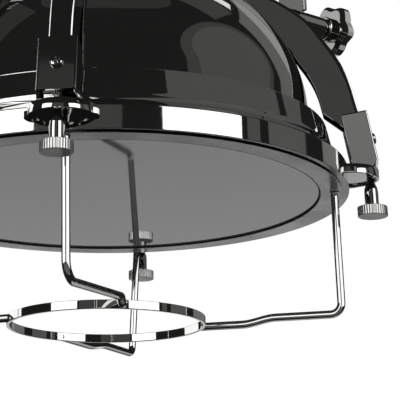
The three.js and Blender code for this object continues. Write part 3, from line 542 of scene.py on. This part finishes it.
def make_rim():
    band = as_mesh("rim_band", spun(softened([
        (LIP_RADIUS, 0), (RIM_RADIUS, 0), (RIM_RADIUS, BAND_HEIGHT), (BAND_INSIDE, BAND_HEIGHT), (BAND_INSIDE, 1),
        (LIP_RADIUS, 1)], 0.35), 192))
    both = joined(band, at_each_arm("rim_lugs", make_lug()))
    rim = piece("rim_and_lugs", as_mesh("rim_and_lugs", both), "nickel", "head", ["bezel"])
    # The lugs' downward faces get the darker nickel, which is painted shade. The band's downward faces get the flat
    # ring's satin finish.
    rim.data.materials.append(FINISHES["lug_underside"])
    rim.data.materials.append(FINISHES["ring"])
    for face in rim.data.polygons:
        if face.normal.z < -0.5:
            face.material_index = 1 if face.center.z > RIM_LEVEL + 5 * MM else 2
    turned_piece("flat_ring", tube(221, 243, -1.5, -0.3), "head", "retaining_ring", "ring", facets=192)
    turned_piece("black_gasket", [(220, -1.4), (220.9, -1.4), (220.9, 1.2), (238, 1.2), (238, 1.9), (220, 1.9)],
                 "head", "glass_seal", "seal", soften=0.2, facets=192)
    turned_piece("smoked_glass_disc", [(0, 0.3), (219.6, 0.3), (219.6, 2.2), (240, 2.2), (240, 7.2), (0, 7.2)],
                 "head", "front_glass", "glass", facets=192)


def make_neck():
    """Housing with two bosses for the pivots, and its lid."""
    foot = DOME_CENTRE + DOME_RISE * math.sqrt(1 - (NECK_INSIDE / DOME_RADIUS) ** 2) + GAP
    housing = spun(softened(tube(NECK_INSIDE, NECK_RADIUS, foot, NECK_TOP), 0.6))
    boss = softened(tube(0, FLANGE_RADIUS, NECK_RADIUS - 2, BOSS_END), 0.5)
    for side in (1, -1):
        housing.from_mesh(as_mesh("boss", spun(boss, 64), sideways(side)))
    piece("turned_neck", as_mesh("turned_neck", housing), "nickel", "head", ["neck_housing"])
    low = NECK_TOP + GAP
    rise = ((61, 0), (61, 4), (54, 7), (46.4, 13.3), (32.4, 18.2), (16.2, 20.3), (0, 21))
    turned_piece("domed_lid", [(0, low), *[(radius, low + up) for radius, up in rise]], "head", "neck_lid",
                 soften=1.2, facets=128)


# Arms and collar ----------------------------------------------------------------------------------
ARM_SUPPORT = FOOT_RADIUS * math.cos(ARM_TILT) - (ARM_CENTRE - FOOT_HEIGHT) * math.sin(ARM_TILT)
ARM_REACH = math.sqrt((ARM_SUPPORT - 2.8) ** 2 - (ARM_RISE * math.sin(ARM_TILT)) ** 2) / math.cos(ARM_TILT)


def pulled_in(height):
    """How far an arm is drawn in from its ellipse half way down, where it lies closer to the dome."""
    shares = [min(max(share, 0), 1) for share in ((height - 35) / 65, (190 - height) / 35)]
    return 5.2 * math.prod(share * share * (3 - 2 * share) for share in shares)


def arm_stations(steps=56, foot_steps=6):
    """Outer face points of an arm with their outward directions, in the XZ plane."""
    start = math.asin((NECK_RADIUS + GAP) / ARM_REACH)
    end = math.atan2(ARM_REACH, ARM_RISE * math.tan(ARM_TILT))
    stations = []
    for i in range(steps + 1):
        a = start + (end - start) * i / steps
        out = Vector((math.sin(a) / ARM_REACH, math.cos(a) / ARM_RISE)).normalized()
        height = ARM_CENTRE + ARM_RISE * math.cos(a)
        stations.append((Vector((ARM_REACH * math.sin(a) - pulled_in(height), height)), out))
    last, out = stations[-1]
    fall = last.y - FOOT_HEIGHT - 10.7
    for i in range(1, foot_steps + 1):
        drop = fall * i / foot_steps
        straight = last.x + pulled_in(last.y) + drop * math.tan(ARM_TILT)
        stations.append((Vector((straight - pulled_in(last.y - drop), last.y - drop)), out))
    return stations


def depth_to_dome(point, out, side, clear=1.5, step=0.5):
    """How deep a flange may go below the outer face before it comes this close to the dome."""
    for k in range(1, 67):
        depth = k * step
        x, z = point.x - out.x * depth, point.y - out.y * depth
        share = math.hypot(x, side) / (DOME_RADIUS + clear)
        rise = max(z - DOME_CENTRE, 0) / (DOME_RISE + clear)
        if share ** 2 + rise ** 2 < 1:
            return depth - step
    return ARM_DEPTH


def make_arms():
    half, wall, edge, fillet = ARM_WIDTH / 2, 2.5, 5, 2.6
    foot_depth, foot_top, foot_run = 20.5, 70, 12
    quarter = [math.pi / 2 * k / 6 for k in range(7)]
    corner = [(edge * (1 - math.cos(a)) - half, edge * (1 - math.sin(a))) for a in quarter]
    rows = []
    for point, out in arm_stations():
        above_foot = min(max((point.y - foot_top) / foot_run, 0), 1)
        outer_depth = min(foot_depth + (ARM_DEPTH - foot_depth) * above_foot, depth_to_dome(point, out, half))
        inner_depth = min(outer_depth, depth_to_dome(point, out, half - wall))
        left = [(-half, outer_depth), *corner]
        right = [(-y, depth) for y, depth in reversed(left)]
        inner = [(half - wall, inner_depth), (half - wall, wall + fillet), (half - wall - fillet, wall),
                 (wall + fillet - half, wall), (wall - half, wall + fillet), (wall - half, inner_depth)]
        row = []
        for y, depth in left + right + inner:
            x, z = point.x - out.x * depth, point.y - out.y * depth
            row.append((max(x, math.sqrt((NECK_RADIUS + GAP) ** 2 - y * y)), y, z))
        rows.append(row)
    four_pieces("channel_arms", as_mesh("channel_arm", lofted(rows)), "nickel", "arm", sharp=30, bevel=0.7)


def make_collar():
    """Collar on top of the arms, notched for the shafts and their flanges."""
    inner, width, steps = NECK_RADIUS + GAP, 27.7, 8
    lower = []
    for i in range(steps + 1):
        radius = inner + width * i / steps
        lower.append((radius, ARM_CENTRE + ARM_RISE * math.cos(math.asin(radius / ARM_REACH)) + 0.7))
    outline = [*lower, *[(radius, height + 3) for radius, height in reversed(lower)]]
    collar = as_mesh("collar", spun(softened(outline, 0.5)))
    wide, narrow, step = FLANGE_RADIUS + GAP, SHAFT_RADIUS + GAP, FLANGE_END + GAP
    stepped = [(0, 20), (wide, 20), (wide, step), (narrow, step), (narrow, 95), (0, 95)]
    notches = [as_mesh("notch", spun(stepped, 48), sideways(side)) for side in (1, -1)]
    notched = cut_with(collar, as_mesh("notches", joined(*notches)))
    piece("arm_collar_ring", notched, "nickel", "head", ["arm_collar"], sharp=30)


# Clamps and thumb screws --------------------------------------------------------------------------
def lean(shape):
    """From the clamp's own frame to the first arm's plane."""
    shape.transform(Matrix.Translation((FOOT_RADIUS, 0, FOOT_HEIGHT)) @ Matrix.Rotation(-ARM_TILT, 4, "Y"))
    return shape


def make_clamps():
    """Brackets: a channel with rounded upper corners whose flanges end in a foot each."""
    y, wall, corner_radius, beyond = CLAMP_WIDTH / 2, CLAMP_WALL, 5, 5
    section = softened([(-CLAMP_DEPTH, -y), (0, -y), (0, y), (-CLAMP_DEPTH, y), (-CLAMP_DEPTH, y - wall),
                        (-wall, y - wall), (-wall, wall - y), (-CLAMP_DEPTH, wall - y)], 2.2)
    channel = lofted([[(px, py, height) for px, py in section] for height in (0, CLAMP_LENGTH)])
    top, ledge = CLAMP_LENGTH - 0.01, CLAMP_LENGTH - 5
    front = softened([(-y - 1, -5), (y + 1, -5), (y + 1, ledge), (y, ledge), (y, top), (-y, top), (-y, ledge),
                      (-y - 1, ledge)], corner_radius, steps=6)
    mask = lofted([[(px, py, pz) for py, pz in front] for px in (beyond, -CLAMP_DEPTH - beyond)])
    clamp = joined(cut_with(as_mesh("channel", channel), as_mesh("mask", mask), "INTERSECT"))
    levels = (1, 0, -1.5, -3.2, -4.8, -6.3)
    for side, spreads in ((1, (0, 0, 1.2, 3.2, 5.4, 7.5)), (-1, (0,) * 6)):
        rows = []
        for height, spread_out in zip(levels, spreads):
            share = max(height / levels[-1], 0)
            back, ahead = 3 * share - CLAMP_DEPTH, -2 - 5 * share
            near, far = side * (y - wall + 0.02 + spread_out), side * (y - 0.02 + spread_out)
            rows.append([(back, near, height), (ahead, near, height), (ahead, far, height), (back, far, height)])
        clamp.from_mesh(as_mesh("flange_foot", lofted(rows)))
    four_pieces("channel_clamps", as_mesh("clamp", lean(clamp)), "nickel", "clamp_bracket", bevel=0.3)


def make_cross_head_screws():
    head = spun(softened([(0, -9), (3, -9), (3, 0.3), (6, 0.3), (6, 1.2), (5.2, 2.6), (3.6, 3.4), (0, 3.7)], 0.3),
                48)
    reach, thin = 3.6, 0.9
    corners = [(reach, thin), (thin, thin), (thin, reach)]
    plus = [Matrix.Rotation(math.pi / 2 * turn, 2) @ Vector(corner) for turn in range(4) for corner in corners]
    recess = lofted([[(size * corner.x, size * corner.y, height) for corner in plus]
                     for height, size in ((1.1, 0.45), (3.7, 1), (4.7, 1.2))])
    screw = joined(cut_with(as_mesh("screw", head), as_mesh("recess", recess, Matrix.Rotation(0.35, 4, "Z"))))
    screw.transform(sideways(1, CLAMP_LENGTH / 2))
    four_pieces("cross_head_screws", as_mesh("screw", lean(screw)), "nickel", "bracket_screw", bevel=0.2)


def make_threaded_blocks():
    front = FOOT_RADIUS - CLAMP_WALL / math.cos(ARM_TILT) - GAP - 9.5 * math.tan(ARM_TILT)
    length, width, height = 13, 30.4, 7
    block = bmesh.new()
    bmesh.ops.create_cube(block, size=1)
    block.transform(Matrix.Translation((front - length / 2, 0, BLOCK_LEVEL))
                    @ Matrix.Diagonal((length, width, height, 1)))
    bore = spun(tube(0, THREAD_RADIUS + GAP, 20, 50), 40)
    bored = cut_with(as_mesh("block", block), as_mesh("bore", bore, Matrix.Translation((SCREW_RADIUS, 0, 0))))
    # The blocks are near-black: painted shade for the dark gap inside the clamps
    four_pieces("threaded_blocks", bored, "painted_shade_black", "clamp_block", bevel=0.5)


def make_thumb_screws():
    """Tapered shank with its thread, and a ribbed head below it."""
    shoulder, root_radius, pitch = CUP_TOP - GAP, THREAD_RADIUS - 0.45, 1.0
    thread = [(THREAD_RADIUS, shoulder)]
    height = shoulder + 0.4
    while height < BLOCK_LEVEL:
        thread += [(THREAD_RADIUS, height), (root_radius, height + 0.25), (root_radius, height + 0.5),
                   (THREAD_RADIUS, height + 0.75)]
        height += pitch
    head_inside = HEAD_TOP - 1
    taper = [(6.9, head_inside), (7, -4), (6.8, -1), (6.3, 1.8), (5.2, 4), (4.3, 7), (3.7, 10.5),
             (3.5, shoulder - 0.1)]
    outline = [(0, head_inside), *taper, *thread, (THREAD_RADIUS, BLOCK_LEVEL + 0.5), (2.3, BLOCK_LEVEL + 1),
               (0, BLOCK_LEVEL + 1)]
    for k in range(ARM_COUNT):
        place = Matrix.Rotation(FIRST_ARM + TAU * k / ARM_COUNT, 4, "Z") @ Matrix.Translation((SCREW_RADIUS, 0, 0))
        body = f"thumb_screw_{k + 1}"
        shank = as_mesh("shank", spun(outline, 48), place)
        piece(f"tapered_shank_{k + 1}", shank, "nickel", body, [], sharp=30)
        head = GRIP.grow("head", bpy.data.meshes.new("empty"), Radius=15.0, Thickness=HEAD_THICKNESS, Ribs=36,
                         Rib_Depth=0.5, Chamfer=0.4, Height=HEAD_TOP - HEAD_THICKNESS / 2,
                         Material=FINISHES["satin"])
        head.transform(place)
        paint_shaded_underside(piece(f"knurled_head_{k + 1}", head, "satin", body, [body], sharp=30), "turned_face")


def paint_shaded_underside(thing, finish):
    """Faces that look down get a darker finish: painted shade."""
    thing.data.materials.append(FINISHES[finish])
    for face in thing.data.polygons:
        if face.normal.z < -0.7:
            face.material_index = 1


# Cage ---------------------------------------------------------------------------------------------
def rod_line(lean_out, radius, low, high, bend, turned, dip_length, run_out):
    """Middle line of a cage rod: down from the bezel, round its bend, along its run and down a dip to the ring."""
    turn = math.radians(turned)
    inward = Vector((-math.cos(turn), math.sin(turn), 0))
    foot = Vector((radius, lean_out, 0))
    along = foot.dot(inward)
    reach = -along - math.sqrt(along ** 2 - foot.length_squared + (CAGE_RADIUS - 1) ** 2)
    dip_start = reach - run_out - dip_length
    top, leg_end = Vector((ROD_CIRCLE, 0, ROD_TOP)), foot + Vector((0, 0, low + bend))
    path = [top.lerp(leg_end, share) for share in (0, 0.33, 0.66, 0.97)]
    steps = 16
    for i in range(steps + 1):
        a = math.pi / 2 * i / steps
        path.append(foot + inward * bend * (1 - math.cos(a)) + Vector((0, 0, low + bend - bend * math.sin(a))))
    for i in range(steps + 1):
        fall = (1 - math.cos(math.pi * i / steps)) / 2
        path.append(foot + inward * (dip_start + dip_length * i / steps)
                    + Vector((0, 0, high + (RING_HEIGHT - high) * fall)))
    path.append(foot + inward * reach + Vector((0, 0, RING_HEIGHT)))
    return path


def make_cage():
    """Hoop, and four rods with a small foot each on the rim."""
    top, bottom = RING_HEIGHT + 4.25, RING_HEIGHT - 4.25
    turned_piece("cage_hoop", tube(CAGE_INSIDE, CAGE_RADIUS, bottom, top), "head", "cage_ring")
    corners, edges = [], []
    for k, (turned, *bends) in enumerate(ROD_BENDS):
        swing = Matrix.Rotation(FIRST_ARM + TAU * k / ARM_COUNT + math.radians(turned), 4, "Z")
        path = [tuple(swing @ point) for point in rod_line(*bends)]
        edges += [(len(corners) + i, len(corners) + i + 1) for i in range(len(path) - 1)]
        corners += path
    lines = bpy.data.meshes.new("rod_lines")
    lines.from_pydata(corners, edges, [])
    rods = RODS.grow("cage_rods", lines, Radius=ROD_RADIUS, Material=FINISHES["nickel"])
    foot = spun(softened(tube(0, ROD_RADIUS + 0.8, ROD_TOP - 1, ROD_TOP), 0.3), 48)
    feet = at_each_arm("rod_feet", as_mesh("rod_foot", foot, Matrix.Translation((ROD_CIRCLE, 0, 0))))
    piece("bent_cage_rods", as_mesh("bent_cage_rods", joined(rods, feet)), "nickel", "head",
          four_nodes("cage_rod"), sharp=50)


# Pivots, yoke and ceiling fittings ----------------------------------------------------------------
def make_pivots():
    """Shaft, sleeve, washer and lobed hand knob on each side, one after the other outwards."""
    sleeve_in, sleeve_out = STRAP_PLANE - 21, STRAP_PLANE + 44
    washer_in = sleeve_out + GAP
    hub_in = washer_in + 4 + GAP
    star_in = hub_in + 9
    flange_in, stud_end = BOSS_END + GAP, sleeve_out + 20.3
    on_shaft, on_stud = SHAFT_RADIUS + GAP, STUD_RADIUS + GAP
    for name, side in (("right", 1), ("left", -1)):
        turned_piece(f"shaft_{name}", [(0, flange_in), (FLANGE_RADIUS, flange_in), (FLANGE_RADIUS, FLANGE_END),
                                       (SHAFT_RADIUS, FLANGE_END), (SHAFT_RADIUS, sleeve_out),
                                       (STUD_RADIUS, sleeve_out), (STUD_RADIUS, stud_end), (0, stud_end)],
                     "head", f"pivot_shaft_{name}", facets=64, turn=sideways(side))
        turned_piece(f"sleeve_{name}", tube(on_shaft, SLEEVE_RADIUS, sleeve_in, sleeve_out),
                     "yoke", f"yoke_sleeve_{name}", facets=96, turn=sideways(side))
        turned_piece(f"washer_{name}", [(on_stud, washer_in), (13.2, washer_in), (10.5, washer_in + 4),
                                        (on_stud, washer_in + 4)],
                     "yoke", f"knob_washer_{name}", facets=96, turn=sideways(side))
        hub = spun(softened(tube(on_stud, 15.5, hub_in, star_in + 3), 1.5), 64)
        cap = spun(softened([(0, star_in + 15), (11, star_in + 15), (11, star_in + 21), (9, star_in + 22),
                             (0, star_in + 22)], 1.0), 64)
        hub.from_mesh(as_mesh("cap", cap))
        knob = GRIP.grow("knob", as_mesh("hub", hub), Radius=33.0, Thickness=19.0, Ribs=6, Rib_Depth=5.0,
                         Chamfer=5.0, Height=star_in + 8.5, Material=FINISHES["nickel"])
        bore = spun(tube(0, on_stud, hub_in - 5, hub_in + 12.3), 48)
        # Known fault: this cut leaves edges of no length, and the bevel then makes one point of each knob NaN
        bored = cut_with(knob, as_mesh("bore", bore), itself=True)
        bored.transform(sideways(side) @ Matrix.Rotation(math.radians(-10), 4, "Z"))
        piece(f"lobed_knob_{name}", bored, "nickel", f"knob_{name}", [f"tilt_knob_{name}"], bevel=0.6, sharp=25)


def make_yoke():
    """Flat bar bent to a U, with saddles for the sleeves and a hole for the pin."""
    bend, half, edge = 60, 2.5, 22
    corner, top = STRAP_PLANE - bend, YOKE_TOP - half
    arc = [math.pi / 2 * i / 24 for i in range(25)]
    leg = [(-STRAP_PLANE, PIVOT + 6.5, 1.0, 0.0)]
    leg += [(-corner - bend * math.cos(a), top - bend + bend * math.sin(a), math.cos(a), math.sin(a)) for a in arc]
    leg += [(-corner * share, top, 0.0, 1.0) for share in (0.75, 0.5, 0.25, 0)]
    path = leg + [(-x, z, -nx, nz) for x, z, nx, nz in reversed(leg[:-1])]
    section = softened([(-half, -edge), (half, -edge), (half, edge), (-half, edge)], 0.8)
    bar = as_mesh("strap", lofted([[(x - nx * t, y, z + nz * t) for t, y in section] for x, z, nx, nz in path]))

    hole_radius = PIN_RADIUS + GAP
    saddle = tube(0, SLEEVE_RADIUS + GAP, 250, 340)
    tools = [as_mesh("saddle", spun(saddle, 64), sideways(side)) for side in (1, -1)]
    tools.append(as_mesh("hole", spun(tube(0, hole_radius, YOKE_TOP - 20, YOKE_TOP + 20), 48)))
    piece("bent_strap", cut_with(bar, as_mesh("tools", joined(*tools))), "nickel", "yoke", ["yoke_bar"], sharp=30)
    low = YOKE_TOP + GAP
    turned_piece("hub_ring", tube(hole_radius, HUB_RADIUS, low, low + 14), "yoke", "swivel_hub",
                 soften=0.8, facets=96)
    pin_low, seam = YOKE_TOP - 5 - GAP, low + 14 + GAP
    pin_end = seam + 16 - GAP
    turned_piece("headed_pin", [(0, pin_low - 5), (11, pin_low - 5), (11, pin_low), (PIN_RADIUS, pin_low),
                                (PIN_RADIUS, pin_end), (0, pin_end)], "ceiling", "swivel_pin",
                 soften=0.8, facets=64)
    turned_piece("stem_socket", [(hole_radius, seam), (HUB_RADIUS, seam), (HUB_RADIUS, seam + 16), (11, seam + 24),
                                 (0, seam + 24), (0, seam + 16), (hole_radius, seam + 16)],
                 "ceiling", "swivel_socket", soften=0.8, facets=96)


def make_ceiling_side():
    """Stem tube and the canopy with its collar."""
    ceiling = -RIM_LEVEL / MM
    stem_top = ceiling - 4 - GAP
    stem_foot = stem_top - 262 + GAP
    turned_piece("stem_tube", tube(9, 11, stem_foot, stem_top), "ceiling", "stem", facets=96)
    bowl, sheet = [(65, 10.5), (60.45, 18), (46.8, 24.6)], 2
    outline = [(63, ceiling), (65, ceiling), *[(radius, ceiling - drop) for radius, drop in bowl],
               (16, ceiling - 30), (16, ceiling - 39), (11.3, ceiling - 39), (11.3, ceiling - 28),
               *[(radius - sheet, ceiling - drop + sheet) for radius, drop in reversed(bowl)]]
    turned_piece("canopy_cup", outline, "ceiling", "canopy", soften=6, facets=128)


def dress_kept_nodes():
    """The CAD nodes whose shape is right keep it and get their finish."""
    kept = {"ceiling_plate": "satin", "reflector": "spun", "lampholder": "porcelain", "bulb": "bulb"}
    for node, finish in kept.items():
        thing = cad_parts[node]
        for slot in thing.material_slots:
            slot.material = FINISHES[finish]


# Studio -------------------------------------------------------------------------------------------
STUDIO = Vector((0, 0, -0.65))
FLOOR_LEVEL = -1.75
ROOM_RADIUS = 8
# Degrees round the lamp at which the camera stands
CAMERA_SIDE = -126


def emission(name, colour, strength):
    material = new_material(name)
    material.node_tree.nodes.clear()
    glow = Nodes(material.node_tree)
    lit = glow.node("ShaderNodeEmission", Color=(*colour, 1), Strength=strength)
    glow.node("ShaderNodeOutputMaterial", Surface=lit.outputs[0])
    return material


def reflection_only(thing):
    """Only the metal and the glass show it."""
    thing.visible_camera = False
    thing.visible_diffuse = False
    thing.visible_transmission = False
    thing.visible_volume_scatter = False
    thing.visible_shadow = False


def panel(name, azimuths, elevations, brightness, seen_by, shape="RECTANGLE", distance=6.0):
    """A soft box that only shows in the metal. Azimuth 0 is towards the camera, and right is positive."""
    turn = math.radians(sum(azimuths) / 2 + CAMERA_SIDE)
    rise = math.radians(sum(elevations) / 2)
    away = Vector((math.cos(rise) * math.cos(turn), math.cos(rise) * math.sin(turn), math.sin(rise)))
    light = bpy.data.lights.new(name, "AREA")
    light.shape = shape
    light.size = 2 * distance * math.cos(rise) * math.tan(math.radians(azimuths[1] - azimuths[0]) / 2)
    light.size_y = 2 * distance * math.tan(math.radians(elevations[1] - elevations[0]) / 2)
    light.energy = math.pi * light.size * light.size_y * brightness * (math.pi / 4 if shape == "ELLIPSE" else 1)
    light.diffuse_factor = 0
    box = placed(name, light)
    box.location = STUDIO + away * distance
    box.rotation_euler = (-away).to_track_quat("-Z", "Y").to_euler()
    box.visible_camera = False
    group = bpy.data.collections.new(f"{name}_seen_by")
    for piece_name in seen_by:
        group.objects.link(bpy.data.objects[piece_name])
    box.light_linking.receiver_collection = group


def make_floor():
    reach = 9
    floor_mesh = bpy.data.meshes.new("floor")
    floor_mesh.from_pydata([(-reach, -reach, FLOOR_LEVEL), (reach, -reach, FLOOR_LEVEL), (reach, reach, FLOOR_LEVEL),
                            (-reach, reach, FLOOR_LEVEL)], [], [(0, 1, 2, 3)])
    pale = new_material("pale_floor")
    surface = pale.node_tree.nodes["Principled BSDF"].inputs
    surface["Base Color"].default_value = (0.82, 0.82, 0.82, 1)
    surface["Roughness"].default_value = 0.9
    floor_mesh.materials.append(pale)
    floor = placed("floor", floor_mesh)


def make_dark_room():
    """Dark walls and carpet round the lamp."""
    room = bmesh.new()
    bmesh.ops.create_uvsphere(room, u_segments=48, v_segments=24, radius=ROOM_RADIUS)
    for corner in room.verts:
        corner.co.z = max(corner.co.z, 0) + FLOOR_LEVEL + 0.02
    bmesh.ops.delete(room, geom=[f for f in room.faces if f.calc_center_median().z < FLOOR_LEVEL + 0.03],
                     context="FACES")
    carpet_reach, level = 2.93, FLOOR_LEVEL + 0.01
    carpet = spun([(0, level), (carpet_reach, level), (ROOM_RADIUS, level)], 72)
    # Behind the lamp the carpet ends early, so that the glass mirrors the pale floor there
    open_side = []
    for face in carpet.faces:
        centre = face.calc_center_median()
        if centre.xy.length > carpet_reach and 14 < math.degrees(math.atan2(centre.y, centre.x)) < 89:
            open_side.append(face)
    bmesh.ops.delete(carpet, geom=open_side, context="FACES")
    dark = emission("dark_room", (1, 0.97, 0.95), 0.016)
    for name, shape in (("dark_room", room), ("dark_carpet", carpet)):
        mesh = bpy.data.meshes.new(name)
        shape.to_mesh(mesh)
        shape.free()
        mesh.materials.append(dark)
        reflection_only(placed(name, mesh))


def make_panels():
    """Soft boxes, each for the pieces it's named for."""
    rods = ["bent_cage_rods"]
    screws = [f"tapered_shank_{k}" for k in range(1, ARM_COUNT + 1)]
    upright = ["rim_and_lugs", "channel_clamps", "cross_head_screws", "threaded_blocks", "cage_hoop", *screws]
    arms = ["channel_arms"]
    shade = ["spun_dome"]
    bell = ["flared_bell"]
    yoke = [f"{part}_{side}" for side in ("right", "left") for part in ("sleeve", "washer", "lobed_knob")]
    yoke.append("bent_strap")
    panel("white_left", (-65, -32), (3, 31), 1.8, upright + yoke)
    panel("white_right", (25, 63), (3, 31), 1.8, upright + yoke)
    panel("grey_centre", (-31, 7), (3, 31), 0.05, upright)
    panel("grey_right", (66, 73), (3, 31), 0.08, upright)
    panel("grey_side", (78, 103), (3, 31), 0.1, upright)
    panel("grey_back", (118, 160), (3, 31), 0.18, upright)
    panel("white_behind", (-150, -112), (3, 31), 1.4, upright)
    panel("clamp_grey", (-20, 4), (9, 25), 0.15, ["channel_clamps"])
    panel("clamp_low", (-32, -8), (26, 35.6), 0.03, ["channel_clamps"])
    panel("rod_left", (-84, -15), (-12, 31), 1.6, rods, distance=3.0)
    panel("rod_right", (9, 86), (-12, 31), 1.6, rods, distance=3.0)
    panel("rod_below", (-60, 60), (-60, -20), 0.13, rods, distance=1.0)
    panel("rod_underside", (105, 165), (-80, -20), 0.45, rods, distance=1.0)
    panel("arm_grey", (-26, 6), (6, 36), 0.05, arms)
    panel("arm_right", (84, 134), (-5, 36), 1.7, arms)
    panel("arm_behind", (164, 190), (-5, 36), 0.4, arms)
    panel("arm_left", (-170, -115), (-5, 36), 1.7, arms)
    panel("shade_grey", (43, 108), (7, 48), 0.045, shade, "ELLIPSE")
    panel("shade_grey_inner", (50, 105), (10, 45), 0.03, shade, "ELLIPSE")
    panel("shade_high", (82, 116), (50, 66), 0.05, shade)
    panel("shade_back", (112, 142), (12, 47), 0.13, shade)
    panel("shade_edge", (128, 150), (18, 48), 0.2, shade, "ELLIPSE")
    panel("shade_rim", (150, 178), (12, 52), 0.22, shade)
    panel("shade_streak", (118, 128), (50, 56), 1.0, shade)
    panel("shade_left", (-110, -65), (10, 60), 0.022, shade)
    panel("bell_grey", (36, 103), (-5, 80), 0.085, bell, "ELLIPSE")
    panel("bell_far", (106, 170), (28, 48), 0.09, bell)
    panel("bell_far_high", (98, 170), (48, 80), 0.09, bell)
    panel("bell_left", (-70, -20), (8, 36), 0.015, bell)
    panel("bell_flare", (-62, -34), (40.8, 60), 1.8, bell)
    panel("bell_flare_low", (-112, -63), (32, 60), 1.8, bell)
    panel("bell_flare_side", (-150, -62), (45, 85), 1.8, bell)
    panel("yoke_left", (-115, -85), (5, 45), 0.2, yoke)
    panel("yoke_right", (66, 100), (5, 60), 0.17, yoke)
    knobs = ["lobed_knob_right", "lobed_knob_left"]
    panel("knob_left", (-150, -70), (-35, 50), 0.35, knobs, distance=1.5)
    panel("knob_right", (30, 110), (-35, 60), 0.35, knobs, distance=1.5)
    panel("screw_low_left", (-75, -22), (-40, 3), 1.6, screws, distance=1.5)
    panel("screw_low_right", (15, 73), (-40, 3), 1.6, screws, distance=1.5)
    heads = [f"knurled_head_{k}" for k in range(1, ARM_COUNT + 1)]
    panel("satin_front", (-80, 80), (-5, 60), 1.5, heads)
    panel("satin_low", (-80, 80), (-45, -10), 0.4, heads, distance=1.3)
    panel("satin_far", (-80, 80), (-40, 0), 3.0, heads[:1], distance=1.3)
    panel("overhead", (-60, 60), (60, 90), 0.025, [*shade, "turned_neck", "domed_lid", "arm_collar_ring"], "ELLIPSE")


def make_lamps():
    """Two plain lamps for the floor's shadow and the matt pieces."""
    for name, place, size, power in (("key_light", (-2.6, -3.4, 1.6), 2.6, 120.0),
                                     ("fill_light", (3.2, -1.6, 0.6), 2.2, 45.0)):
        light = bpy.data.lights.new(name, "AREA")
        light.size = size
        light.energy = power
        lamp = placed(name, light)
        lamp.location = place
        lamp.rotation_euler = (STUDIO - Vector(place)).to_track_quat("-Z", "Y").to_euler()
        lamp.visible_glossy = False


def make_world():
    """White where it's seen or mirrored, and a plain soft light elsewhere."""
    world = bpy.data.worlds.new("studio")
    scene.world = world
    world.use_nodes = True
    world.node_tree.nodes.clear()
    sky = Nodes(world.node_tree)
    path = sky.node("ShaderNodeLightPath").outputs
    seen = sky.calc("MAXIMUM", path["Is Camera Ray"], path["Is Glossy Ray"])
    seen = sky.calc("MAXIMUM", seen, path["Is Transmission Ray"])
    soft = sky.node("ShaderNodeBackground", Color=(0.8, 0.8, 0.8, 1), Strength=0.9)
    white = sky.node("ShaderNodeBackground", Color=(1, 1, 1, 1), Strength=1.0)
    mix = sky.node("ShaderNodeMixShader", Fac=seen)
    sky.feed(mix.inputs[1], soft.outputs[0])
    sky.feed(mix.inputs[2], white.outputs[0])
    sky.node("ShaderNodeOutputWorld", Surface=mix.outputs[0])


def make_camera():
    """The camera that was solved from the photograph."""
    lens = bpy.data.cameras.new("camera")
    lens.sensor_width = 36
    lens.lens = 128.04
    lens.shift_x = 0.2351
    lens.shift_y = -0.5224
    lens.clip_end = 100
    camera = placed("camera", lens)
    rise = math.radians(22.92)
    look = Vector((0.5878 * math.cos(rise), 0.8090 * math.cos(rise), math.sin(rise)))
    camera.location = (-0.8505, -1.1706, -1.0905)
    camera.rotation_euler = look.to_track_quat("-Z", "Y").to_euler()
    scene.camera = camera


make_dome()
make_bell()
make_rim()
make_neck()
make_arms()
make_collar()
make_clamps()
make_cross_head_screws()
make_threaded_blocks()
make_thumb_screws()
make_cage()
make_pivots()
make_yoke()
make_ceiling_side()
dress_kept_nodes()
make_floor()
make_dark_room()
make_panels()
make_lamps()
make_world()
make_camera()
scene.view_settings.view_transform = "Standard"
